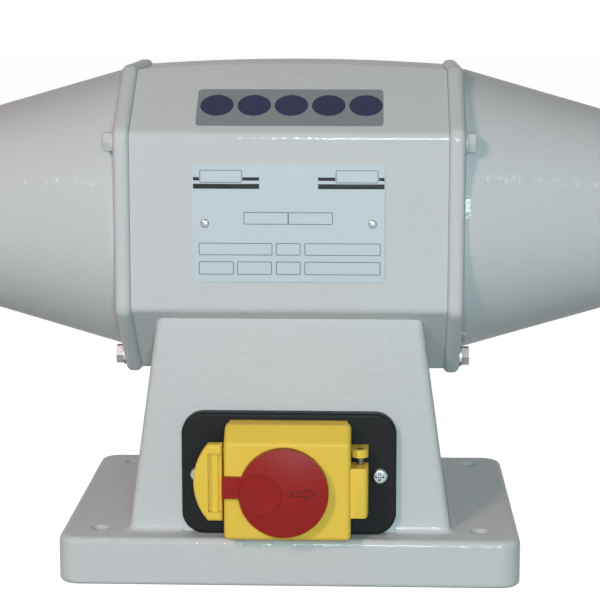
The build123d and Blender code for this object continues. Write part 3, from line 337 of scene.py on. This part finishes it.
def plated_metal(name, colour, rough):
    """Plated metal: small bright and dull grains with slight clouds."""
    finish = Finish(name, Metallic=1.0)
    finish.colour(finish.noise(300, 4), colour, 0.86, 1.08)
    finish.roughness(finish.noise(700, 3), *rough)
    plating_relief(finish)
    return finish.material


def turned_metal(name, colour, rough):
    """Lathe-turned metal: fine rings that run round the shaft, packed closely along X."""
    finish = Finish(name, Metallic=1.0)
    rings = finish.noise(1, 3, stretch=(5200, 60, 60))
    finish.colour(rings, colour, 0.88, 1.08)
    finish.roughness(rings, *rough)
    finish.relief(rings, 0.04 * MM, 0.5)
    return finish.material


def sheet_stack(name, colour):
    """Stacked steel sheets half a millimetre thick: bands along X with a dull skin."""
    finish = Finish(name, Metallic=0.8)
    sheets = finish.bands("X", 628)
    finish.colour(sheets, colour, 0.6, 1.1)
    finish.roughness(finish.noise(400, 3), 0.35, 0.55)
    finish.relief(sheets, 0.08 * MM, 0.7)
    return finish.material


def brushed_plate(name, colour):
    """Satin foil plate: short brush lines along X in its colour, gloss and relief."""
    finish = Finish(name, Specular_IOR_Level=0.15)
    lines = finish.noise(1, 3, stretch=(60, 3000, 3000))
    finish.colour(lines, colour, 0.94, 1.05)
    finish.roughness(lines, 0.3, 0.48)
    finish.relief(lines, 0.02 * MM, 0.4)
    return finish.material


def wound_wire(name, colour):
    """Varnished wire: thin bands round the bundle with dark varnish between them."""
    finish = Finish(name, Metallic=0.7, Coat_Weight=0.6)
    wires = finish.noise(1, stretch=(1600, 260, 260))
    finish.colour(wires, colour, 0.45, 1.2)
    finish.roughness(finish.noise(300), 0.25, 0.45)
    finish.relief(wires, 0.2 * MM, 0.8)
    return finish.material


def soft_rubber(name, colour):
    """Matt rubber with a faint bloom and fine pits."""
    finish = Finish(name, IOR=1.5)
    finish.colour(finish.noise(90, 4), colour, 0.8, 1.5)
    finish.roughness(finish.noise(250, 3), 0.55, 0.8)
    finish.relief(finish.noise(1500, 3), 0.04 * MM, 0.6)
    return finish.material


def printed_film(name, colour):
    """Printed film with a slightly uneven print and a wavy skin."""
    finish = Finish(name, Specular_IOR_Level=0.15)
    finish.colour(finish.noise(70, 3), colour, 0.92, 1.06)
    finish.roughness(finish.noise(200), 0.25, 0.38)
    finish.relief(finish.noise(120, 1), 0.1 * MM, 0.4)
    return finish.material


def woven_cotton(name, colour):
    """Plain-woven cotton: threads along Y and Z, ply edges streaked along the rim, and a soft sheen."""
    finish = Finish(name, Sheen_Weight=0.35, Sheen_Roughness=0.5)
    weave = finish.product(finish.bands("Y", 520, 0.6), finish.bands("Z", 520, 0.6))
    plies = finish.noise(1, 3, stretch=(900, 70, 70))
    finish.colour(finish.product(plies, weave), colour, 0.84, 1.1)
    finish.roughness(finish.noise(300, 3), 0.8, 0.95)
    finish.relief(weave, 0.12 * MM, 0.8)
    finish.relief(finish.noise(1400, 4), 0.2 * MM, 0.5)
    return finish.material


PAINT = (0.545, 0.575, 0.58)
FINE_GRAIN = 0.02 * MM
MIDDLE_GRAIN = 0.03 * MM
COARSE_GRAIN = 0.04 * MM
casting_paint = gloss_paint("casting_paint", shade(PAINT, 1.04), casting=0.5 * MM, peel=0.4 * MM)
housing_paint = gloss_paint("housing_paint", shade(PAINT, 1.015), casting=0.2 * MM, peel=0.23 * MM)
bell_paint = gloss_paint(
    "bell_paint", shade(PAINT, 1.02), casting=0.12 * MM, peel=0.15 * MM, peel_scale=380
)
turned_steel = turned_metal("turned_steel", (0.56, 0.56, 0.57), (0.2, 0.36))
black_plastic = moulded_plastic(
    "black_plastic", (0.014, 0.015, 0.0165), (0.38, 0.52), COARSE_GRAIN, gloss=0.1
)
yellow_plastic = moulded_plastic("yellow_plastic", (0.80, 0.57, 0.075), (0.32, 0.44), MIDDLE_GRAIN)
cotton = woven_cotton("woven_cotton", (0.86, 0.8, 0.67))
slot_finishes = {
    "grey_paint": casting_paint,
    "black_plastic": black_plastic,
    "yellow_plastic": yellow_plastic,
    "red_plastic": moulded_plastic("red_plastic", (0.285, 0.014, 0.012), (0.3, 0.42), FINE_GRAIN),
    "green_plastic": moulded_plastic("green_plastic", (0.03, 0.25, 0.07), (0.3, 0.42), FINE_GRAIN),
    "bright_steel": plated_metal("zinc_plate", (0.5, 0.51, 0.52), (0.24, 0.42)),
    "turned_steel": turned_steel,
    "core_steel": sheet_stack("core_sheets", (0.3, 0.3, 0.31)),
    "aluminium": turned_metal("turned_aluminium", (0.55, 0.56, 0.57), (0.28, 0.45)),
    "brass": plated_metal("brass", (0.7, 0.5, 0.2), (0.2, 0.38)),
    "copper": wound_wire("wound_copper", (0.6, 0.25, 0.1)),
    "rubber": soft_rubber("rubber", (0.02, 0.02, 0.02)),
    "vinyl": printed_film("printed_film", (0.225, 0.25, 0.26)),
    "cotton": cotton,
}
node_finishes = {
    "motor_housing": housing_paint,
    "left_end_bell": bell_paint,
    "right_end_bell": bell_paint,
    "front_plate": brushed_plate("satin_foil", (0.53, 0.605, 0.655)),
    "hinge_pin": plated_metal("dark_pin", (0.16, 0.15, 0.13), (0.4, 0.55)),
    "bell_bolts": part_painted("part_painted_zinc", (0.62, 0.63, 0.64), PAINT, shaft_z),
    "bell_washers": part_painted("part_painted_washers", (0.5, 0.51, 0.52), PAINT, shaft_z),
}
for part in frame["record"]["subparts"]:
    finish = node_finishes.get(part["node"], slot_finishes[part["material_slot"]])
    for place in frame["nodes"][part["node"]].material_slots:
        place.material = finish


# Sewn cloth wheels. A wave is a count round the turn and an amplitude in millimetres.

PLIES = 16
WHEEL_STEPS = 420
FACE_STEPS = 52
WHEEL_BORE = 8.1 * MM
FACE_START = 12 * MM
SEWING_START = 40 * MM
SEWING_END = 92 * MM
SEWING_PITCH = 10 * MM
SWELL = 0.9 * MM
SWELL_START = 37 * MM
SWELL_END = 97 * MM
SWELL_FADE = 4 * MM
PILLOW_POWER = 0.6
PLY_VALLEY = 3.2 * MM
PLY_INSET = np.array([1.0, 0.4, 0.0, 0.4])[:, None]
PLY_LEAN = np.array([0.5, 0.3, 0.0, -0.3])[:, None]
PLY_LOOSE = np.array([0.1, 0.6, 1.0, 0.6])[:, None]
RAGGED_WAVES = [(3, 0.25), (8, 0.2), (17, 0.2), (41, 0.22), (73, 0.25), (131, 0.2)]
SWAY_WAVES = [(5, 0.12), (23, 0.1), (57, 0.08)]
CLOTH_CREASE = 75


def face_swell(radius, angle):
    """Rise of the cloth between two turns of the spiral sewing: a power of a sine from one row to the next,
    fading out at the clamp and at the rim."""
    row = (radius - SEWING_START) / SEWING_PITCH - angle / TURN
    pillow = np.abs(np.sin(np.pi * row)) ** PILLOW_POWER
    inner = np.clip((radius - SWELL_START) / SWELL_FADE, 0, 1)
    outer = np.clip((SWELL_END - radius) / SWELL_FADE, 0, 1)
    return SWELL * pillow * inner * outer


def cloth_wheel(side):
    """Closed surface of profile and angle. The profile runs out over one face, over the edge of every ply
    and back over the other face to the bore. Each ply edge has four points, from a valley over its crest,
    and wanders by sines."""
    low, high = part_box(f"{side}_buff")
    middle, half, rim = (low.x + high.x) / 2, (high.x - low.x) / 2, (high.z - low.z) / 2
    angle = round_steps(WHEEL_STEPS)
    face = np.concatenate([[WHEEL_BORE], np.linspace(FACE_START, rim - PLY_VALLEY, FACE_STEPS)])
    face_radius = np.repeat(face[:, None], WHEEL_STEPS, axis=1)
    rise = face_swell(face_radius, angle)
    pitch = 2 * half / PLIES
    ragged = sine_wander(angle, RAGGED_WAVES, PLIES)[:, None] * MM
    sway = sine_wander(angle, SWAY_WAVES, PLIES)[:, None] * MM
    ply_x = half - (np.arange(PLIES)[:, None, None] + 0.5) * pitch
    edge_x = ply_x + PLY_LEAN * pitch + sway * PLY_LOOSE
    edge_radius = rim - PLY_INSET * PLY_VALLEY + ragged * PLY_LOOSE
    x = np.concatenate([half + rise, edge_x.reshape(-1, WHEEL_STEPS), (-half - rise)[::-1]])
    radius = np.concatenate([face_radius, edge_radius.reshape(-1, WHEEL_STEPS), face_radius[::-1]])
    grids = [around_shaft(middle + x, radius, angle)[None]]
    wheel = make_piece(f"{side}_cloth_wheel", grids, cotton, "rotor", CLOTH_CREASE, closed=True)
    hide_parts(f"{side}_buff")


STITCH_LENGTH = 4.4 * MM
STITCH_STEP = 6.2 * MM
STITCH_RADIUS = 0.55 * MM
STITCH_SINK = 0.35 * MM
STITCH_SIDES = 6
STITCH_POINTS = 7


def wheel_stitches(side):
    """Thread showing on both faces: short beads along the spiral, each a circle carried along an arc of the
    row and drawn in at both ends, where it dives into the cloth."""
    low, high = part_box(f"{side}_buff")
    middle, half = (low.x + high.x) / 2, (high.x - low.x) / 2
    growth = SEWING_PITCH / TURN
    sweep = (SEWING_END - SEWING_START) / growth
    along = np.arange(0, SEWING_START * sweep + growth * sweep**2 / 2, STITCH_STEP)
    start = (np.sqrt(SEWING_START**2 + 2 * growth * along) - SEWING_START) / growth
    run = np.linspace(-1, 1, STITCH_POINTS)
    reach = STITCH_LENGTH / 2 / (SEWING_START + growth * start)
    angle = start[:, None] + run * reach[:, None]
    taper = STITCH_RADIUS * np.sqrt(1 - run**4)
    section = round_steps(STITCH_SIDES)
    lift = np.outer(taper, np.sin(section)) - (STITCH_SINK * run**2)[:, None]
    radius = (SEWING_START + growth * angle)[:, :, None] + np.outer(taper, np.cos(section))
    beads = [around_shaft(middle + way * (half + lift), radius, angle[:, :, None]) for way in (-1, 1)]
    make_piece(f"{side}_wheel_stitches", beads, cotton, "rotor")


for side in ("left", "right"):
    cloth_wheel(side)
    wheel_stitches(side)


# Threads on the two ends of the shaft

ARBOR_RADIUS = 8 * MM
THREAD_PITCH = 2.0 * MM
THREAD_START = 1.1 * MM
THREAD_STEPS = 64
THREAD_TURNS = 1.9
THREAD_FADE = 0.6
THREAD_CREASE = 60
HALF_TOOTH = np.array([(-0.9, -0.3), (-0.75, 0), (-0.2, 0.42)]) * MM


def shaft_thread(way):
    """Ridge of a thread: a blunt tooth carried along a helix, left-handed at the left end. It fades out at
    both ends and closes there at the tooth's middle."""
    low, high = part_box("shaft")
    end = high.x if way > 0 else low.x
    turn = np.linspace(0, TURN * THREAD_TURNS, int(THREAD_STEPS * THREAD_TURNS))
    along = end - way * (THREAD_START + THREAD_PITCH * turn / TURN)
    fade = np.clip(np.minimum(turn, turn[-1] - turn) / THREAD_FADE, 0, 1)
    tooth = both_sides(HALF_TOOTH)
    radius = ARBOR_RADIUS + tooth[:, 1] * fade[:, None]
    ridge = around_shaft(along[:, None] + tooth[:, 0], radius, turn[:, None])
    caps = np.repeat(ridge[[0, -1]].mean(axis=1, keepdims=True), len(tooth), axis=1)
    return np.concatenate([caps[:1], ridge, caps[1:]])[None]


threads = [shaft_thread(way) for way in (-1, 1)]
make_piece("shaft_threads", threads, turned_steel, "rotor", THREAD_CREASE)


# Cross-slotted screw heads. The shoulder and the cross are shares of the head's radius and height.

SCREW_RINGS = 56
SCREW_STEPS = 128
SCREW_CREASE = 30
SHOULDER_START = 0.55
SHOULDER_DROP = 0.5
SHOULDER_POWER = 2.6
SHOULDER_FOOT = 0.42
CROSS_LENGTH = 0.56
CROSS_WIDTH = 0.13
CROSS_DEPTH = 0.62
CROSS_END_TAPER = 0.16
CROSS_SIDE_TAPER = 0.05


def head_places(node, carrier):
    """Centres, radius and height of the two heads that a node shows on the front of what carries it."""
    low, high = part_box(node)
    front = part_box(carrier)[0].y
    radius, level = (high.z - low.z) / 2, (low.z + high.z) / 2
    centres = [(x, front, level) for x in (low.x + radius, high.x - radius)]
    return centres, radius, front - low.y


def cross_slot(along, across):
    """Depth of one slot from nought to one: full in the middle, tapered at its ends and sides."""
    reach = np.clip((CROSS_LENGTH - np.abs(along)) / CROSS_END_TAPER, 0, 1)
    return reach * np.clip((CROSS_WIDTH - np.abs(across)) / CROSS_SIDE_TAPER, 0, 1)


def cross_screw(centre, radius, height):
    """Pan head as a height over ring and angle: a rounded shoulder, and a cross of two slots sunk in it."""
    ring = np.concatenate([np.linspace(0, 1, SCREW_RINGS), [1, 0]])
    angle = round_steps(SCREW_STEPS)
    right, up = np.outer(ring, np.cos(angle)), np.outer(ring, np.sin(angle))
    shoulder = np.clip((ring - SHOULDER_START) / (1 - SHOULDER_START), 0, 1)
    top = 1 - SHOULDER_DROP * shoulder**SHOULDER_POWER
    top[-3:] = (SHOULDER_FOOT, 0, 0)
    out = top[:, None] - CROSS_DEPTH * np.maximum(cross_slot(right, up), cross_slot(up, right))
    return set_on(np.stack([radius * right, radius * up, height * out], axis=2), centre)


centres, head_radius, head_height = head_places("bezel_screws", "switch_bezel")
dull_zinc = plated_metal("dull_zinc", (0.36, 0.4, 0.41), (0.25, 0.4))
screw_heads = [cross_screw(centre, head_radius, head_height) for centre in centres]
heads = make_piece("bezel_screw_heads", screw_heads, dull_zinc, "machine", SCREW_CREASE)
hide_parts("bezel_screws")


# Domed heads of the plate's rivets

RIVET_DOME = 0.75 * MM
RIVET_RINGS = 14
RIVET_STEPS = 48
RIVET_CREASE = 50


def rivet_head(centre, radius):
    """Button head: a quarter of an ellipse turned round its middle, with a flat foot drawn in below."""
    lift = np.linspace(0, np.pi / 2, RIVET_RINGS)
    share = np.concatenate([np.sin(lift), [1, 0]])
    rise = np.concatenate([np.cos(lift), [0, 0]]) * RIVET_DOME
    return set_on(stacked(circle(radius, RIVET_STEPS), share, rise), centre)


centres, rivet_radius, _ = head_places("plate_rivets", "front_plate")
rivet_zinc = plated_metal("rivet_zinc", (0.3, 0.33, 0.35), (0.22, 0.34))
rivet_heads = [rivet_head(centre, rivet_radius) for centre in centres]
domes = make_piece("plate_rivet_heads", rivet_heads, rivet_zinc, "machine", RIVET_CREASE)
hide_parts("plate_rivets")


# Prints on the front plate: plain rules and empty boxes, in millimetres from the plate's middle

INK_RISE = 0.06 * MM
BOX_RADIUS = 0.5 * MM
RULE_RADIUS = 0.2 * MM
RULE_EDGE = 0.03
BOX_HALF_LINE = np.array([(-0.2, -0.03), (-0.2, 0.04), (-0.1, 0.06)]) * MM
EMPTY_BOXES = [
    (-30.0, 21.0, 18.5, 5.4),
    (30.2, 21.0, 18.5, 5.4),
    (-10.0, 2.4, 19.6, 5.2),
    (9.6, 2.4, 19.6, 5.2),
    (-23.6, -11.4, 32.4, 5.2),
    (-0.2, -11.4, 10.6, 5.2),
    (23.9, -11.4, 33.4, 5.2),
    (-32.2, -19.9, 15.2, 5.6),
    (-15.2, -19.9, 15.2, 5.6),
    (-0.2, -19.9, 10.6, 5.6),
    (23.9, -19.9, 33.4, 5.6),
]
RULES = [
    (-42.3, -39.6, 19.9, 1.5),
    (-20.4, -13.0, 19.9, 1.5),
    (-42.3, -13.0, 16.6, 2.2),
    (13.0, 20.6, 19.9, 1.5),
    (39.9, 42.3, 19.9, 1.5),
    (13.0, 42.3, 16.6, 2.2),
]
plate_low, plate_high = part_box("front_plate")
plate_middle = np.array([(plate_low.x + plate_high.x) / 2, plate_low.y, (plate_low.z + plate_high.z) / 2])


def on_plate(surface, right, up):
    """Local print set on the plate, this far from its middle."""
    return set_on(surface, plate_middle + np.array((right, 0, up)) * MM)


def box_outline(right, up, width, height):
    """Line of an empty box about its middle: the line's profile carried round a rounded rectangle."""
    outline = rounded_box(width * MM, height * MM, BOX_RADIUS)
    return on_plate(ridge_along(outline, both_sides(BOX_HALF_LINE)), right, up)


def rule_bar(start, end, up, width):
    """Bar of a rule from its start to its end: a thin tablet on a rounded rectangle."""
    outline = rounded_box((end - start) * MM, width * MM, RULE_RADIUS)
    return on_plate(flat_tablet(outline, INK_RISE, RULE_EDGE), (start + end) / 2, up)


grey_ink = printed_film("grey_ink", (0.2, 0.22, 0.24))
black_ink = printed_film("black_ink", (0.012, 0.013, 0.014))
box_lines = [box_outline(*box) for box in EMPTY_BOXES]
rule_bars = [rule_bar(*rule) for rule in RULES]
make_piece("plate_boxes", box_lines, grey_ink, "machine", closed=True)
make_piece("plate_rules", rule_bars, black_ink, "machine")


# Plain discs on the strip of the upper front facet

DISC_STEPS = range(-2, 3)
DISC_RADIUS = 7.5 * MM
DISC_EDGE = 0.02
DISC_PITCH = 16.67 * MM
DISC_PROUD = 0.2 * MM
DISC_LIFT = 1.3 * MM
DISC_SHIFT = 0.6 * MM
FACET_DEPTH = 39.0
FACET_RISE = 26.5
facet_slope = np.hypot(FACET_RISE, FACET_DEPTH)
facet_out = np.array((0, -FACET_RISE, FACET_DEPTH)) / facet_slope
facet_up = np.array((0, FACET_DEPTH, FACET_RISE)) / facet_slope
strip_low, strip_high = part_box("facet_strip")
strip_middle = np.array((strip_low + strip_high) / 2) + facet_out * DISC_PROUD + facet_up * DISC_LIFT


def strip_disc(step):
    """Thin round tablet on the strip, this many steps from its middle."""
    tablet = flat_tablet(circle(DISC_RADIUS), INK_RISE, DISC_EDGE)
    place = strip_middle + np.array((step * DISC_PITCH + DISC_SHIFT, 0, 0))
    return set_on(tablet, place, (RIGHT, facet_up, facet_out))


blue_ink = printed_film("blue_ink", (0.02, 0.026, 0.072))
make_piece("strip_discs", [strip_disc(step) for step in DISC_STEPS], blue_ink, "machine")


# Broad front of the flap's hinge lug, placed from the pin's middle

LUG_HALF = 11.35 * MM
LUG_RIGHT = -1.2 * MM
LUG_FORWARD = 7.5 * MM
LUG_UP = -3.6 * MM
LUG_WIDTH = 9.2 * MM
LUG_DEPTH = 3.8 * MM
LUG_RADIUS = 1.85 * MM
LUG_EDGE = 0.2
LUG_AXES = (RIGHT, (0, -1, 0), (0, 0, 1))
pin_low, pin_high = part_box("hinge_pin")
pin_middle = (pin_low + pin_high) / 2
lug_bar = rounded_bar(rounded_box(LUG_WIDTH, LUG_DEPTH, LUG_RADIUS), LUG_HALF, LUG_EDGE)
lug_place = np.array(pin_middle) + (LUG_RIGHT, -LUG_FORWARD, LUG_UP)
lug_front = set_on(lug_bar, lug_place, LUG_AXES)
make_piece("hinge_lug_front", [lug_front], yellow_plastic, "flap")


# Arrow outline and rim of the finger dish, moulded on the sliding cap. Their darker reds are painted shade,
# standing in for the shadow in the arrow's groove and at the dish's edge.

CAP_DOME = 1.8 * MM
ARROW = np.array([(-5.6, -0.9), (1, -0.9), (1, -2.3), (5.4, 0), (1, 2.3), (1, 0.9), (-5.6, 0.9)]) * MM
ARROW_PLACE = np.array((9.0, 0.4)) * MM
ARROW_HALF_LINE = np.array([(-0.35, -0.15), (-0.3, 0.1), (-0.12, 0.22)]) * MM
DISH_RADIUS = 9.3 * MM
DISH_STEPS = 96
DISH_PLACE = np.array((-10.0, 0)) * MM
DISH_LINE = np.array([(-0.3, -0.2), (-0.2, 0.02), (0, 0.08), (0.2, 0.02), (0.3, -0.2)]) * MM
cap_low, cap_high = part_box("slide_cap")
cap_radius = (cap_high.z - cap_low.z) / 2
cap_front = (cap_high.x - cap_radius, cap_low.y, (cap_low.z + cap_high.z) / 2)


def on_dome(outline, line):
    """Ridge round an outline on the cap's dome, which falls away with the square of the distance."""
    ridge = ridge_along(outline, line)
    ridge[..., 2] -= (ridge[..., 0] ** 2 + ridge[..., 1] ** 2) * CAP_DOME / cap_radius**2
    return set_on(ridge, cap_front)


# Darker red of the arrow: painted shade of its engraved groove
arrow_painted_shade = moulded_plastic("arrow_painted_shade_red", (0.13, 0.008, 0.007), (0.35, 0.45), FINE_GRAIN)
# Darker red of the dish rim: painted shade at the edge of the finger dish
dish_rim_painted_shade = moulded_plastic("dish_rim_painted_shade_red", (0.2, 0.01, 0.009), (0.35, 0.45), FINE_GRAIN)
arrow = on_dome(ARROW + ARROW_PLACE, both_sides(ARROW_HALF_LINE))
dish_rim = on_dome(circle(DISH_RADIUS, DISH_STEPS) + DISH_PLACE, DISH_LINE)
make_piece("cap_arrow", [arrow], arrow_painted_shade, "cap", closed=True)
make_piece("cap_dish_rim", [dish_rim], dish_rim_painted_shade, "cap", closed=True)


# Surroundings and floor

WHITE = (1, 1, 1)
AMBIENT = 0.13
FLOOR_SIZE = 12.0
FLOOR_GLOW = 0.9
FLOOR_GRAIN = 3
PALE_FLOOR = (0.64, 0.66)
GREY_FLOOR = (0.24, 0.26)


def camera_light(tree):
    """One where the ray comes from the camera, a gloss or clear glass, and nought elsewhere."""
    path = tree.nodes.new("ShaderNodeLightPath")
    first = tree.nodes.new("ShaderNodeMath")
    second = tree.nodes.new("ShaderNodeMath")
    first.operation = second.operation = "MAXIMUM"
    tree.links.new(path.outputs["Is Camera Ray"], first.inputs[0])
    tree.links.new(path.outputs["Is Glossy Ray"], first.inputs[1])
    tree.links.new(first.outputs[0], second.inputs[0])
    tree.links.new(path.outputs["Is Transmission Ray"], second.inputs[1])
    return second.outputs[0]


world = bpy.data.worlds.new("studio")
world.use_nodes = True
bpy.context.scene.world = world
sky = world.node_tree
backdrop = sky.nodes["Background"]
backdrop.inputs["Color"].default_value = (*WHITE, 1)
strength = sky.nodes.new("ShaderNodeMapRange")
strength.inputs["To Min"].default_value = AMBIENT
sky.links.new(camera_light(sky), strength.inputs["Value"])
sky.links.new(strength.outputs["Result"], backdrop.inputs["Strength"])

floor_finish = Finish("floor_finish", Roughness=0.9, Specular_IOR_Level=0.0, Emission_Color=(*WHITE, 1))
seen = camera_light(floor_finish.tree)
pale_floor = floor_finish.tint(floor_finish.noise(FLOOR_GRAIN), WHITE, *PALE_FLOOR)
grey_floor = floor_finish.tint(floor_finish.noise(FLOOR_GRAIN), WHITE, *GREY_FLOOR)
floor_colour = floor_finish.tint_between(seen, grey_floor, pale_floor)
floor_finish.join(floor_colour, floor_finish.shader.inputs["Base Color"])
glow = floor_finish.spread(seen, 0, FLOOR_GLOW, 0, 1)
floor_finish.join(glow, floor_finish.shader.inputs["Emission Strength"])

corner = FLOOR_SIZE / 2
floor_mesh = bpy.data.meshes.new("floor")
floor_corners = [(-corner, -corner, 0), (corner, -corner, 0), (corner, corner, 0), (-corner, corner, 0)]
floor_mesh.from_pydata(floor_corners, [], [(0, 1, 2, 3)])
floor_mesh.materials.append(floor_finish.material)
floor = bpy.data.objects.new("floor", floor_mesh)
bpy.context.scene.collection.objects.link(floor)


# Lamps: two that shape the object, three that only fill its shadows, and two small glints in the cones

FRONT_TARGET = (0, 0, 0.14)
SHAFT_TARGET = (0, 0, shaft_z)
FILL_SIZE = 0.1


def add_lamp(name, place, target, size, power, colour=WHITE):
    """Soft square lamp at a place, turned to face a target."""
    lamp = bpy.data.lights.new(name, "AREA")
    lamp.size = size
    lamp.energy = power
    lamp.color = colour
    holder = bpy.data.objects.new(name, lamp)
    holder.location = place
    holder.rotation_euler = (Vector(target) - Vector(place)).to_track_quat("-Z", "Y").to_euler()
    bpy.context.scene.collection.objects.link(holder)
    return holder


add_lamp("warm_side", (-0.5, -1.15, 0.68), FRONT_TARGET, size=0.2, power=6.8, colour=(1, 0.67, 0.61))
add_lamp("cool_front", (0.08, -1.15, 0.33), FRONT_TARGET, size=0.25, power=7.1, colour=(0.77, 1, 1.05))
for name, place, power in (
    ("back_fill", (0, 1.4, 0.06), 9.0),
    ("left_fill", (-0.55, 0, shaft_z), 0.22),
    ("right_fill", (0.55, 0, shaft_z), 0.22),
):
    fill = add_lamp(name, place, SHAFT_TARGET, FILL_SIZE, power)
    fill.visible_glossy = fill.visible_camera = False
add_lamp("left_glint", (-1.1, -1.15, 0.84), SHAFT_TARGET, size=0.06, power=0.18)
add_lamp("right_glint", (1.1, -1.15, 0.97), SHAFT_TARGET, size=0.1, power=0.26)


# Camera, fitted to the edges of the base, the housing and the switch

CAMERA_PLACE = (0.03616, -0.92736, 0.27345)
CAMERA_TILT = 80.522
CAMERA_TURN = 2.08
CAMERA_LENS = 117.03
CAMERA_SENSOR = 36

camera_data = bpy.data.cameras.new("camera")
camera_data.sensor_width = CAMERA_SENSOR
camera_data.lens = CAMERA_LENS
camera = bpy.data.objects.new("camera", camera_data)
camera.location = CAMERA_PLACE
camera.rotation_euler = (np.radians(CAMERA_TILT), 0, np.radians(CAMERA_TURN))
bpy.context.scene.collection.objects.link(camera)
bpy.context.scene.camera = camera
bpy.context.scene.view_settings.view_transform = "Standard"
